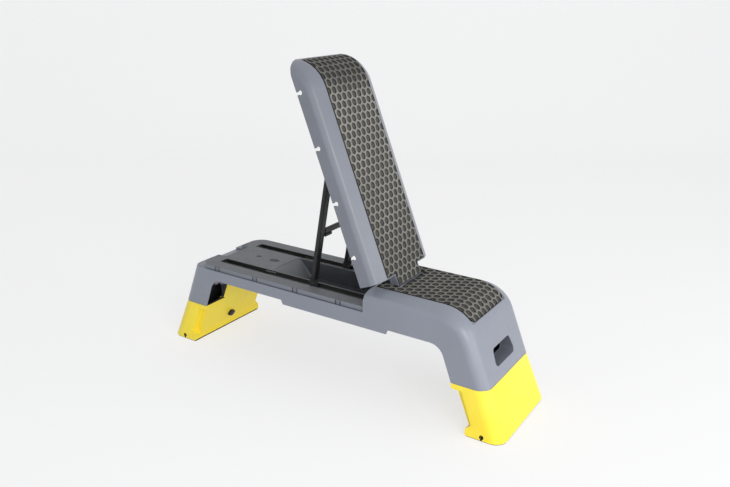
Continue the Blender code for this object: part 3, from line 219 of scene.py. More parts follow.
class StepColours(bpy.types.PropertyGroup):
    """Colours of the step, as linear values."""

    shell: bpy.props.FloatVectorProperty(
        name="Shell", description="Blue-grey moulded plastic of the deck and the lid",
        **COLOUR, default=(0.226, 0.243, 0.291))
    tray: bpy.props.FloatVectorProperty(
        name="Tray", description="Rougher and darker top of the tray under the lid",
        **COLOUR, default=(0.150, 0.156, 0.166))
    # The tub's dark colour is partly painted shade from the lid above it
    tub: bpy.props.FloatVectorProperty(
        name="Tub", description="Storage tub between the slots",
        **COLOUR, default=(0.052, 0.056, 0.063))
    mat: bpy.props.FloatVectorProperty(
        name="Mat", description="Ridges of the dimpled mats",
        **COLOUR, default=(0.198, 0.192, 0.171))
    # Painted shade on the dimples' floors
    pit: bpy.props.FloatVectorProperty(
        name="Pits", description="Floors of the dimples in the mats",
        **COLOUR, default=(0.062, 0.060, 0.055))
    # Painted shade on the dimples' walls and along the mats' edges
    wall: bpy.props.FloatVectorProperty(
        name="Pit walls", description="Steep walls of the dimples and the mats' edges",
        **COLOUR, default=(0.013, 0.013, 0.012))
    leg: bpy.props.FloatVectorProperty(
        name="Legs", description="Yellow moulded plastic of the folding legs",
        **COLOUR, default=(0.990, 0.790, 0.062))
    black: bpy.props.FloatVectorProperty(
        name="Black", description="Painted steel, rubber and black plastic",
        **COLOUR, default=(0.010, 0.010, 0.011))
    steel: bpy.props.FloatVectorProperty(
        name="Steel", description="Bare zinc-plated pins, springs and screws",
        **COLOUR, default=(0.55, 0.55, 0.54))


class StepSizes(bpy.types.PropertyGroup):
    """Sizes of the details that the looks add to the frame."""

    pit_pitch: bpy.props.FloatProperty(
        name="Pit pitch", description="From one dimple to the next across the mat",
        unit="LENGTH", min=0.01, max=0.05, default=0.0254)
    pit_row: bpy.props.FloatProperty(
        name="Row pitch", description="From one row of dimples to the next along the mat",
        unit="LENGTH", min=0.01, max=0.05, default=0.0222)
    pit_radius: bpy.props.FloatProperty(
        name="Pit radius", description="Where a dimple's wall starts",
        unit="LENGTH", min=0.003, max=0.02, default=0.0106)
    pit_floor: bpy.props.FloatProperty(
        name="Pit floor", description="Radius of a dimple's floor",
        unit="LENGTH", min=0.001, max=0.02, default=0.0070)
    pit_depth: bpy.props.FloatProperty(
        name="Pit depth", description="Depth of a dimple",
        unit="LENGTH", min=0.0, max=0.004, default=0.0037)
    mat_step: bpy.props.FloatProperty(
        name="Mat step", description="Width of the faces that draw the dimples",
        unit="LENGTH", min=0.001, max=0.005, default=0.0015)
    shell_round: bpy.props.FloatProperty(
        name="Shell edges", description="Round of the moulded shells' edges",
        unit="LENGTH", min=0.0, max=0.003, default=0.0011)
    part_round: bpy.props.FloatProperty(
        name="Small edges", description="Round of the smaller parts' edges",
        unit="LENGTH", min=0.0, max=0.002, default=0.0006)
    grain: bpy.props.FloatProperty(
        name="Plastic grain", description="Depth of the moulded plastic's fine grain",
        unit="LENGTH", min=0.0, max=0.001, default=0.00005)


class StageSizes(bpy.types.PropertyGroup):
    """Camera, lamps and backdrop."""

    lens: bpy.props.FloatProperty(
        name="Lens", description="Focal length on a 36 mm sensor",
        unit="CAMERA", min=10, max=200, default=36.49)
    key: bpy.props.FloatProperty(
        name="Key lamp", description="Power of the large lamp on the near right side",
        unit="POWER", min=0, max=500, default=66)
    side: bpy.props.FloatProperty(
        name="Side lamp", description="Power of the low lamp beyond the seat end",
        unit="POWER", min=0, max=500, default=22)
    top: bpy.props.FloatProperty(
        name="Top lamp", description="Power of the lamp overhead",
        unit="POWER", min=0, max=500, default=4)
    sky: bpy.props.FloatProperty(
        name="Room light", description="Even light of the white room", min=0, max=2, default=0.60)
    glow: bpy.props.FloatProperty(
        name="Even backdrop", description="Share of the backdrop's tone that is the same everywhere",
        subtype="FACTOR", min=0, max=1, default=0.66)
    floor: bpy.props.FloatVectorProperty(
        name="Floor", description="Colour of the floor and the backdrop",
        **COLOUR, default=(0.90, 0.90, 0.91))


def colours():
    return bpy.context.scene.step_colours


def sizes():
    return bpy.context.scene.step_sizes


# Materials

class Tree:
    """A node tree under construction, with short ways to add its nodes and to link them."""

    def __init__(self, tree):
        self.tree = tree

    def feed(self, socket, value):
        """Link an output to a socket, or set the socket's own value."""
        if isinstance(value, bpy.types.NodeSocket):
            self.tree.links.new(value, socket)
        else:
            socket.default_value = value

    def add(self, kind, values=(), **settings):
        """A node with its settings, and its inputs by name: a value, or an output to link."""
        node = self.tree.nodes.new(kind)
        for key, value in settings.items():
            setattr(node, key, value)
        for key, value in dict(values).items():
            self.feed(node.inputs[key], value)
        return node

    def maths(self, operation, first, second=0.0, third=0.0):
        node = self.add("ShaderNodeMath", {0: first, 1: second, 2: third}, operation=operation)
        return node.outputs[0]

    def axes(self, vector):
        """The X, Y and Z of a vector."""
        return tuple(self.add("ShaderNodeSeparateXYZ", {0: vector}).outputs)

    def spread(self, source, low, high, start=NOISE_LOW, stop=NOISE_HIGH, curve="LINEAR"):
        """A source between start and stop, spread from low to high."""
        node = self.add("ShaderNodeMapRange", {"Value": source, "From Min": start, "From Max": stop,
                                               "To Min": low, "To Max": high}, interpolation_type=curve)
        return node.outputs["Result"]

    def direct_rays(self):
        """One for what the camera sees by itself, in a reflection or through glass."""
        paths = self.add("ShaderNodeLightPath").outputs
        seen = paths["Is Camera Ray"]
        for other in ("Is Glossy Ray", "Is Transmission Ray"):
            seen = self.maths("MAXIMUM", seen, paths[other])
        return seen

    def mixed_shaders(self, share, first, second, end):
        """Two shaders mixed by a share, as the surface of the tree's end node."""
        both = self.add("ShaderNodeMixShader", {0: share, 1: first.outputs[0], 2: second.outputs[0]})
        self.feed(self.tree.nodes[end].inputs["Surface"], both.outputs[0])


class Finish(Tree):
    """A material under construction: its shader, its patterns and the masks of its places."""

    def __init__(self, name, roughness, metallic=0.0, gloss=0.5):
        self.made = bpy.data.materials.new(name)
        self.made.use_nodes = True
        super().__init__(self.made.node_tree)
        self.shader = self.tree.nodes["Principled BSDF"]
        for key, value in (("Roughness", roughness), ("Metallic", metallic), ("Specular IOR Level", gloss)):
            self.feed(self.shader.inputs[key], value)
        places = self.add("ShaderNodeTexCoord").outputs
        self.place, self.own_normal = places["Object"], places["Normal"]

    def noise(self, scale, detail=3.0, roughness=0.55, place=None):
        node = self.add("ShaderNodeTexNoise", {"Vector": place or self.place, "Scale": scale,
                                               "Detail": detail, "Roughness": roughness})
        return node.outputs["Fac"]

    def patches(self, scale, low=0.0, high=1.0, start=NOISE_LOW, stop=NOISE_HIGH, **kind):
        """A noise of so many waves to the metre, its middle part spread from low to high."""
        return self.spread(self.noise(scale, **kind), low, high, start, stop)

    def facing(self):
        """Where a face looks, in the piece's own frame, so that a moved piece keeps its colours."""
        return self.axes(self.own_normal)

    def below(self, value, limit):
        return self.maths("LESS_THAN", value, limit)

    def above(self, value, limit):
        return self.maths("GREATER_THAN", value, limit)

    def near(self, value, middle, reach):
        return self.maths("COMPARE", value, middle, reach)

    def all_of(self, first, *others):
        """One where every one of these masks is one."""
        for other in others:
            first = self.maths("MULTIPLY", first, other)
        return first

    def any_of(self, first, *others):
        """One where any of these masks is one."""
        for other in others:
            first = self.maths("MAXIMUM", first, other)
        return first

    def outward(self, along, z):
        """How far along a point would come by sliding down to the floor at the ends' slope."""
        return self.maths("MULTIPLY_ADD", z, END_SLOPE, along)

    def turned_up(self):
        """One on level faces that look up or down, fading out on slopes."""
        return self.spread(self.maths("ABSOLUTE", self.facing()[2]), 0.0, 1.0, *LEVEL_FADE)

    def turned_in(self, x, y):
        """One on faces that look down, or back at the upright line through the step's middle."""
        facing_x, facing_y, facing_z = self.facing()
        away = self.maths("MULTIPLY_ADD", facing_x, x, self.maths("MULTIPLY", facing_y, y))
        return self.any_of(self.below(away, 0.0), self.below(facing_z, LOOKS_DOWN))

    def spot(self, x, y, middle_x, middle_y, half_x, half_y):
        """One inside an oval on the plane of two axes."""
        across = self.maths("DIVIDE", self.maths("SUBTRACT", x, middle_x), half_x)
        along = self.maths("DIVIDE", self.maths("SUBTRACT", y, middle_y), half_y)
        reach = self.maths("MULTIPLY_ADD", across, across, self.maths("MULTIPLY", along, along))
        return self.below(reach, 1.0)

    def mix(self, share, first, second, blend="MIX"):
        """Two colours mixed by a share. A mix node's colour sockets go by number."""
        node = self.add("ShaderNodeMix", {0: share}, data_type="RGBA", blend_type=blend)
        for socket, value in ((node.inputs[6], first), (node.inputs[7], second)):
            self.feed(socket, value if isinstance(value, bpy.types.NodeSocket) else (*value, 1.0))
        return node.outputs[2]

    def bump(self, height, distance, strength=1.0, under=None):
        node = self.add("ShaderNodeBump", {"Height": height, "Distance": distance, "Strength": strength})
        if under is not None:
            self.feed(node.inputs["Normal"], under)
        return node.outputs["Normal"]

    def glaze(self, weight, roughness):
        """A thin clear skin, which gives broad bends their soft streak of light."""
        self.feed(self.shader.inputs["Coat Weight"], weight)
        self.feed(self.shader.inputs["Coat Roughness"], roughness)

    def grained(self, share=1.0):
        """Fine spark-eroded grain of a moulded surface, with slow waviness under it."""
        slow = self.bump(self.noise(WAVINESS, detail=1.0), distance=0.0012, strength=0.35)
        grain = self.maths("ADD", self.noise(FINE_GRAIN, detail=2.0), self.noise(COARSE_GRAIN, detail=2.0))
        return self.bump(grain, sizes().grain * share, under=slow)

    def moulded(self, base):
        """A moulding's colour, faintly clouded, with pale specks."""
        colour = self.mix(self.patches(CLOUDS), scaled(base, 0.96), scaled(base, 1.05))
        speck = self.patches(SPECKS, high=0.16, start=0.52, stop=0.70, detail=2.0)
        return self.mix(speck, colour, scaled(base, 1.35))

    def finish(self, colour, roughness=None, normal=None):
        for key, value in (("Base Color", colour), ("Roughness", roughness), ("Normal", normal)):
            if value is not None:
                self.feed(self.shader.inputs[key], value)
        return self.made


def scaled(colour, *shares):
    """A colour made lighter or darker, by one share or by one for each of its three parts."""
    shares = shares if len(shares) > 1 else shares * len(colour)
    return tuple(min(1.0, part * share) for part, share in zip(colour, shares))


def shell_plastic():
    """Blue-grey satin plastic of the lid, darker than the deck by painted shade."""
    paint = Finish("shell_plastic", 0.42)
    # Painted shade: the shell's colour darkened over the whole lid
    colour = paint.moulded(scaled(colours().shell, 0.71))
    paint.glaze(LID_GLAZE, GLAZE_ROUGHNESS)
    return paint.finish(colour, paint.patches(SHEEN_PATCHES, *SHELL_SHEEN, detail=4.0), paint.grained())


def deck_places_and_shade(paint):
    """Masks of the deck's tray and slots, and of the shade painted on it: on the tray's wall strip, in the
    tray's recesses, on the slits and groove of its wall, inside the deck and in the handle holes.
    """
    x, y, z = paint.axes(paint.place)
    aside = paint.maths("ABSOLUTE", y)
    out = paint.outward(paint.maths("ABSOLUTE", x), z)
    by_lid = paint.below(x, SEAT_REAR_X - SLACK)
    tray = paint.all_of(paint.near(z, TRAY_Z - SLACK, TRAY_SKIN), by_lid, paint.turned_up())
    # Painted shade on the tray's recessed wall strip, between the ledge and the tray
    side = paint.all_of(paint.near(z, (TRAY_Z + LEDGE_Z) / 2, (TRAY_Z - LEDGE_Z) / 2), by_lid,
                        paint.below(aside, TRAY_HALF + HAIR))
    wall = paint.all_of(side, paint.above(aside, TRAY_HALF - WALL_SKIN))
    # Painted shade: the groove at the foot of the tray's wall as a dark line, the slits in the wall as pairs
    # of dark lines, and a darker block between the lines of a pair
    foot = paint.all_of(paint.near(z, LEDGE_Z, FOOT_LINE_HIGH), by_lid,
                        paint.near(aside, TRAY_HALF, FOOT_LINE_WIDE))
    from_notch = paint.maths("PINGPONG", paint.maths("SUBTRACT", x, NOTCH_X), NOTCH_STEP / 2)
    marks = paint.all_of(paint.near(from_notch, LINE_OFF, LINE_HALF), wall)
    # Painted shade in the two recesses of the tray, as dark ovals
    recess_shade = paint.any_of(*(paint.spot(x, y, *place) for place in TRAY_RECESS_SHADE))
    # Painted shade on the faces inside the deck that look inward or down
    hollow_shade = paint.all_of(paint.below(aside, DECK_HALF - SHELL_WALL * SIDE_SHARE),
                          paint.below(out, HALF_LENGTH - SHELL_WALL * END_SHARE),
                          paint.below(z, LEDGE_Z - SLACK), paint.turned_in(x, y))
    # Painted shade inside the handle holes
    handle = paint.near(out, HALF_LENGTH - HANDLE_DEEP / 2, HANDLE_DEEP / 2 - SLACK)
    return {
        "tray": tray,
        "side": side,
        "recess_shade": paint.all_of(recess_shade, tray),
        "between": paint.all_of(paint.below(from_notch, LINE_OFF), wall),
        "lines": paint.any_of(foot, marks),
        "slots": paint.all_of(paint.near(aside, SLOT_Y, SLOT_HALF), by_lid,
                              paint.above(x, SLOT_LEFT_X), paint.above(z, SLOT_LOW_Z)),
        "hollow_shade": hollow_shade,
        "handle_shade": paint.all_of(paint.below(aside, HANDLE_HALF), paint.below(z, HANDLE_TOP_Z), handle),
    }


def base_plastic():
    """The deck's plastic: rougher and mottled on the tray, with painted shade on the tray's wall strip, in
    its recesses and on its slits and groove, inside the deck and in its handle holes.
    """
    paint = Finish("base_plastic", 0.42)
    base, tray = tuple(colours().shell), tuple(colours().tray)
    where = deck_places_and_shade(paint)
    mottle = paint.patches(260.0, start=0.35, stop=0.65, roughness=0.7)
    # Layers over the moulded colour: the tray's own colour, painted shade on its wall strip, in its recesses,
    # on its slits and groove, inside the deck and in the handle holes, and the slots in black
    layers = (
        ("side", 0.85, scaled(base, 0.72)),
        ("tray", 1.0, paint.mix(mottle, scaled(tray, 0.84), scaled(tray, 1.18))),
        ("recess_shade", 0.8, scaled(tray, 0.22)),
        ("between", 0.35, scaled(base, 0.30)),
        ("lines", 0.8, scaled(base, 0.18)),
        ("slots", 1.0, tuple(colours().black)),
        ("hollow_shade", 1.0, scaled(base, 0.85)),
        ("handle_shade", 1.0, scaled(base, 0.58)))
    colour = paint.moulded(base)
    for place, share, shade in layers:
        colour = paint.mix(paint.maths("MULTIPLY", where[place], share), colour, shade)
    duller = paint.maths("MULTIPLY", where["tray"], TRAY_DULLER)
    sheen = paint.maths("ADD", paint.patches(SHEEN_PATCHES, *SHELL_SHEEN, detail=4.0), duller)
    paint.glaze(paint.spread(where["tray"], DECK_GLAZE, 0.0, 0.0, 1.0), GLAZE_ROUGHNESS)
    return paint.finish(colour, sheen, paint.grained())


def tub_plastic():
    """Darker plastic of the tub, partly as painted shade from the lid, with wear where small weights slide
    and painted light on its sloping end.
    """
    paint = Finish("tub_plastic", 0.5)
    base = tuple(colours().tub)
    worn = paint.patches(14.0, start=0.45, stop=0.70, detail=5.0, roughness=0.65)
    colour = paint.mix(worn, base, scaled(base, 1.25))
    # Painted light: the tub's sloping end, which faces the seat end, in the tray's lighter colour
    slope = paint.above(paint.facing()[0], TUB_LEANS)
    colour = paint.mix(slope, colour, tuple(colours().tray))
    return paint.finish(colour, paint.spread(worn, *TUB_SHEEN, 0.0, 1.0), paint.grained())


def mat_rubber():
    """Dimpled mat: dusty ridges, painted shade in the pits and along the edges, painted light and shade by
    height, and a matt skin with fine pores.
    """
    paint = Finish("mat_rubber", 0.62, gloss=0.25)
    ridge, pit, wall = tuple(colours().mat), tuple(colours().pit), tuple(colours().wall)
    down = paint.add("ShaderNodeAttribute", attribute_name="pit").outputs["Fac"]
    inward = paint.add("ShaderNodeAttribute", attribute_name="rim").outputs["Fac"]
    cloud = paint.patches(7.0, start=0.35, stop=0.65, detail=4.0, roughness=0.6)
    colour = paint.mix(cloud, scaled(ridge, 0.88), scaled(ridge, 1.12))
    # Painted shade in the dimples: darkest on the walls, less dark on the floors
    colour = paint.mix(paint.spread(down, 0.0, 1.0, 0.02, 0.30), colour, wall)
    colour = paint.mix(paint.spread(down, 0.0, 1.0, 0.60, 1.0), colour, pit)
    speck = paint.patches(700.0, high=0.35, start=0.60, stop=0.74, detail=2.0)
    colour = paint.mix(speck, colour, scaled(ridge, 1.6))
    # Painted shadow along the mat's edge, where it sits in its groove
    colour = paint.mix(paint.spread(inward, 0.95, 0.0, *RIM_PAINTED_SHADOW), colour, wall)
    # Painted light and shade by height: darker low down and on the lid's top roll, lighter in between
    height = paint.axes(paint.place)[2]
    shade = paint.maths("MULTIPLY", *(paint.spread(height, *tones) for tones in MAT_PAINTED_LIGHT))
    colour = paint.mix(1.0, colour, shade, "MULTIPLY")
    pores = paint.bump(paint.noise(1100.0, detail=2.0), distance=0.00012)
    return paint.finish(colour, paint.patches(60.0, *MAT_SHEEN), pores)


def leg_painted_shade(paint):
    """A mask of painted shade on the yellow legs: the parts above the split that sit inside the deck,
    the inner faces, which look back at the leg's middle, and the keyholes at their feet."""
    x, y, z = paint.axes(paint.place)
    facing_x, facing_y, facing_z = paint.facing()
    along = paint.maths("ABSOLUTE", x)
    out = paint.outward(along, z)
    above_split = paint.all_of(paint.above(out, PANEL_X + PANEL_SKIN), paint.above(z, SPLIT_Z - SPLIT_SKIN))
    facing_out = paint.outward(paint.maths("MULTIPLY", facing_x, paint.maths("SIGN", x)), facing_z)
    from_middle = paint.maths("SUBTRACT", out, (HALF_LENGTH + PANEL_X) / 2)
    away = paint.maths("MULTIPLY_ADD", facing_out, from_middle, paint.maths("MULTIPLY", facing_y, y))
    keyhole = paint.spot(along, z, KEYHOLE_X, KEYHOLE_Z, KEYHOLE_R, KEYHOLE_R)
    slit = paint.all_of(paint.near(along, KEYHOLE_X, KEYHOLE_SLIT), paint.below(z, KEYHOLE_Z))
    return paint.any_of(above_split, paint.below(away, LEG_INSIDE), keyhole, slit)


def leg_plastic():
    """Saturated yellow plastic, slightly glossy, with painted shade where it sits inside the deck, on its
    inner faces and in its keyholes.
    """
    paint = Finish("leg_plastic", 0.36, gloss=0.32)
    base = tuple(colours().leg)
    colour = paint.mix(paint.patches(6.0), scaled(base, 1.0, 0.95, 0.7), scaled(base, 1.0, 1.03, 1.2))
    # Painted shade: near black inside the deck, on the inner faces and in the keyholes
    colour = paint.mix(leg_painted_shade(paint), colour, scaled(colours().black, 7.0))
    return paint.finish(colour, paint.patches(45.0, *LEG_SHEEN, detail=4.0), paint.grained(0.7))


def black_plastic():
    """Matt black plastic of the slot liners, the sleeve and the knobs."""
    paint = Finish("black_plastic", 0.45, gloss=0.09)
    base = scaled(colours().black, 0.6)
    dust = paint.patches(22.0, start=0.45, stop=0.75, detail=5.0, roughness=0.7)
    colour = paint.mix(dust, base, scaled(base, 1.6))
    return paint.finish(colour, paint.spread(dust, *PLASTIC_SHEEN, 0.0, 1.0), paint.grained())


def black_paint():
    """Powder-coated steel with its fine orange-peel skin."""
    paint = Finish("black_paint", 0.38, metallic=0.15, gloss=0.35)
    base = tuple(colours().black)
    cloud = paint.patches(12.0)
    colour = paint.mix(cloud, base, scaled(base, 1.5))
    peel = paint.add("ShaderNodeTexVoronoi", {"Vector": paint.place, "Scale": 620.0}).outputs["Distance"]
    paint.glaze(0.08, 0.25)
    skin = paint.bump(peel, distance=0.00012, strength=0.8)
    return paint.finish(colour, paint.spread(cloud, *PAINT_SHEEN, 0.0, 1.0), skin)


def black_rubber():
    """Rubber of the feet, soles and pads, greyed by dust."""
    paint = Finish("black_rubber", 0.80)
    base = tuple(colours().black)
    dust = paint.patches(30.0, start=0.40, stop=0.75, detail=5.0, roughness=0.7)
    colour = paint.mix(dust, scaled(base, 0.9), scaled(base, 2.6))
    pores = paint.bump(paint.noise(800.0, detail=2.0), distance=0.0001)
    return paint.finish(colour, paint.spread(dust, *RUBBER_SHEEN, 0.0, 1.0), pores)


def plain_steel():
    """Zinc-plated steel with faint turning marks."""
    paint = Finish("plain_steel", 0.28, metallic=1.0)
    base = tuple(colours().steel)
    stretched = paint.add("ShaderNodeMapping", {"Vector": paint.place, "Scale": (1.0, 14.0, 1.0)})
    marks = paint.noise(240.0, detail=4.0, roughness=0.6, place=stretched.outputs["Vector"])
    colour = paint.mix(paint.spread(marks, 0.0, 1.0), scaled(base, 0.82), scaled(base, 1.15))
    scratches = paint.bump(marks, distance=0.00004, strength=0.6)
    return paint.finish(colour, paint.spread(marks, *STEEL_SHEEN), scratches)


FINISHES = {
    "shell_plastic": (shell_plastic, "shell_grey"),
    "base_plastic": (base_plastic, "shell_grey"),
    "tub_plastic": (tub_plastic, "tub_grey"),
    "mat_rubber": (mat_rubber, "mat_grey"),
    "leg_plastic": (leg_plastic, "leg_yellow"),
    "black_plastic": (black_plastic, "black_plastic"),
    "black_paint": (black_paint, "black_steel"),
    "black_rubber": (black_rubber, "black_rubber"),
    "plain_steel": (plain_steel, "plain_steel"),
}


def finish_named(name):
    """The material of that name, made once."""
    return bpy.data.materials.get(name) or FINISHES[name][0]()


# Pieces

def linked(name, data):
    """An object in the scene with this mesh, lamp or camera."""
    made = bpy.data.objects.new(name, data)
    bpy.context.scene.collection.objects.link(made)
    return made


def smooth_mesh(name, bm, material):
    """The bmesh as a smooth mesh of one material."""
    mesh = bpy.data.meshes.new(name)
    bm.to_mesh(mesh)
    bm.free()
    mesh.materials.append(material)
    mesh.shade_smooth()
    return mesh


def new_piece(name, bm, finish, crisp=CRISP):
    """A piece from a bmesh, with smooth rounds and crisp corners."""
    mesh = smooth_mesh(name, bm, finish_named(finish))
    mesh.set_sharp_from_angle(angle=crisp)
    return linked(name, mesh)


def plain(made):
    """Turn what the modifiers make into the piece's own mesh."""
    bpy.context.view_layer.update()
    graph = bpy.context.evaluated_depsgraph_get()
    mesh = bpy.data.meshes.new_from_object(made.evaluated_get(graph))
    made.modifiers.clear()
    old = made.data
    made.data = mesh
    bpy.data.meshes.remove(old)
    mesh.name = made.name
    return made


def settle(made, finish, body, *nodes):
    """Say what a finished piece rides on and which nodes it stands for; the finish it is given is not used.
    """
    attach(made, body)
    if nodes:
        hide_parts(*nodes)
    return made


def copied(node, name, finish):
    """A merged copy of a CAD node."""
    bm = bmesh.new()
    bm.from_mesh(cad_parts[node].data)
    bmesh.ops.remove_doubles(bm, verts=bm.verts, dist=MERGE)
    bmesh.ops.dissolve_limit(bm, angle_limit=COPLANAR, verts=bm.verts, edges=bm.edges)
    return new_piece(name, bm, finish)


def softened(node, name, body, finish, width):
    """A copy of a CAD node with its hard edges rounded, which stands for the node."""
    made = copied(node, name, finish)
    step = made.modifiers.new("edges", "BEVEL")
    step.limit_method = "ANGLE"
    step.angle_limit = ROUNDED_FROM
    step.width = width
    step.segments = ROUND_STEPS
    step.miter_outer = "MITER_ARC"
    step.harden_normals = True
    return settle(plain(made), finish, body, node)


def repaint(node, finish):
    """A better material on a CAD node whose shape is right."""
    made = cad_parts[node]
    if not made.data.materials:
        made.data.materials.append(None)
    for place in made.material_slots:
        place.material = finish_named(finish)


# Mats

def mat_outline(s, length):
    """Half width of a mat's wide part at a distance along it, with its round end corners."""
    half = MAT_HALF - MAT_TRIM
    past = s - (length - MAT_CORNER_R)
    if past <= 0:
        return half
    return half - MAT_CORNER_R + math.sqrt(max(0.0, MAT_CORNER_R ** 2 - past ** 2))


def grid_lines(stop, fixed):
    """Even lines from zero to an end that also pass through some fixed places."""
    places = sorted({0.0, stop, *(place for place in fixed if 0.0 < place < stop)})
    lines = [0.0]
    for low, high in zip(places, places[1:]):
        count = max(1, round((high - low) / sizes().mat_step))
        lines += [low + (high - low) * i / count for i in range(1, count + 1)]
    return lines


class MatSheet:
    """A mat laid flat: S along X, T across Y, its top at Z zero. Its first stretch is either a
    tongue of some half width, or has a clearance of that half width in its middle."""

    def __init__(self, length, gap_half, gap_length, is_tongue):
        self.length, self.gap_half = length, gap_half
        self.gap_length, self.is_tongue = gap_length, is_tongue
        self.wide = MAT_HALF - MAT_TRIM
        self.rows = grid_lines(length, (MAT_RIM, gap_length - MAT_RIM, gap_length,
                                        gap_length + MAT_RIM, length - MAT_RIM))
        half = grid_lines(self.wide, (gap_half - MAT_RIM, gap_half, gap_half + MAT_RIM, self.wide - MAT_RIM))
        self.columns = [-t for t in reversed(half[1:])] + half
        self.bm = bmesh.new()
        self.rim = self.bm.verts.layers.float.new("rim")
        self.grid = {}

    def kept(self, i, j):
        """Whether the mat has the face after this row and this column."""
        s = (self.rows[i] + self.rows[i + 1]) / 2
        t = abs(self.columns[j] + self.columns[j + 1]) / 2
        return s > self.gap_length or (t < self.gap_half) == self.is_tongue

    def rim_distance(self, s, t):
        """How far a point is inside the mat's outline."""
        across = mat_outline(s, self.length) - abs(t)
        ends = self.length - s
        past, beside = s - self.gap_length, abs(t) - self.gap_half
        if past <= 0:
            across = -beside if self.is_tongue else min(across, beside)
            ends = min(ends, s)
        elif (beside < 0) != self.is_tongue:
            ends = min(ends, past)
        else:
            across = min(across, math.hypot(past, beside))
        return max(0.0, min(across, ends))

    def corner(self, i, j):
        """The point at a row and a column, made once."""
        if (i, j) not in self.grid:
            s, t = self.rows[i], self.columns[j]
            if s > self.gap_length:
                t *= mat_outline(s, self.length) / self.wide
            point = self.bm.verts.new((s, t, 0.0))
            point[self.rim] = self.rim_distance(s, t)
            self.grid[i, j] = point
        return self.grid[i, j]

    def top(self):
        """Lay the faces of the top, and list the unbroken runs in each row."""
        runs = []
        for i in range(len(self.rows) - 1):
            row = [j for j in range(len(self.columns) - 1) if self.kept(i, j)]
            for j in row:
                ring = ((i, j), (i + 1, j), (i + 1, j + 1), (i, j + 1))
                self.bm.faces.new([self.corner(*place) for place in ring])
            starts = [j for j in row if j - 1 not in row]
            ends = [j + 1 for j in row if j + 1 not in row]
            runs += [(i, start, end) for start, end in zip(starts, ends)]
        return runs

    def underside(self, runs):
        """Walls down from the outline, and one long face under each run."""
        walls = [edge for edge in self.bm.edges if edge.is_boundary]
        border = dict.fromkeys(v for edge in walls for v in edge.verts)
        under = {v: self.bm.verts.new((v.co.x, v.co.y, -MAT_THICK)) for v in border}
        for edge in walls:
            a, b = edge.verts
            self.bm.faces.new((a, b, under[b], under[a]))
        for i, start, end in runs:
            ring = [self.grid[i, j] for j in range(start, end + 1)]
            ring += [self.grid[i + 1, j] for j in range(end, start - 1, -1)]
            self.bm.faces.new([under[v] for v in ring if v in under])
        for v in under.values():
            v[self.rim] = UNDERSIDE

    def piece(self, name):
        """The whole sheet, closed underneath."""
        self.underside(self.top())
        bmesh.ops.recalc_face_normals(self.bm, faces=self.bm.faces)
        return new_piece(name, self.bm, "mat_rubber", MAT_CRISP)


class Nodes(Tree):
    """A Geometry Nodes tree under construction, with named inputs."""

    def __init__(self, name, inputs):
        super().__init__(bpy.data.node_groups.new(name, "GeometryNodeTree"))
        face = self.tree.interface
        face.new_socket("Geometry", in_out="INPUT", socket_type="NodeSocketGeometry")
        for label in inputs:
            face.new_socket(label, in_out="INPUT", socket_type="NodeSocketFloat")
        face.new_socket("Geometry", in_out="OUTPUT", socket_type="NodeSocketGeometry")
        self.given = self.add("NodeGroupInput").outputs
        self.sink = self.add("NodeGroupOutput").inputs[0]

    def vector(self, x=0.0, y=0.0, z=0.0):
        return self.add("ShaderNodeCombineXYZ", {"X": x, "Y": y, "Z": z}).outputs[0]

    def close(self, geometry, finish):
        """Realize what was placed and give it its material."""
        real = self.add("GeometryNodeRealizeInstances", {"Geometry": geometry}).outputs[0]
        done = self.add("GeometryNodeSetMaterial", {"Geometry": real, "Material": finish_named(finish)})
        self.feed(self.sink, done.outputs[0])

    def run(self, made, values):
        """Run the tree on a piece with these values, and keep the result as its mesh."""
        step = made.modifiers.new("nodes", "NODES")
        step.node_group = self.tree
        for item in self.tree.interface.items_tree:
            if item.in_out == "INPUT" and item.name in values:
                step[item.identifier] = values[item.name]
        return plain(made)


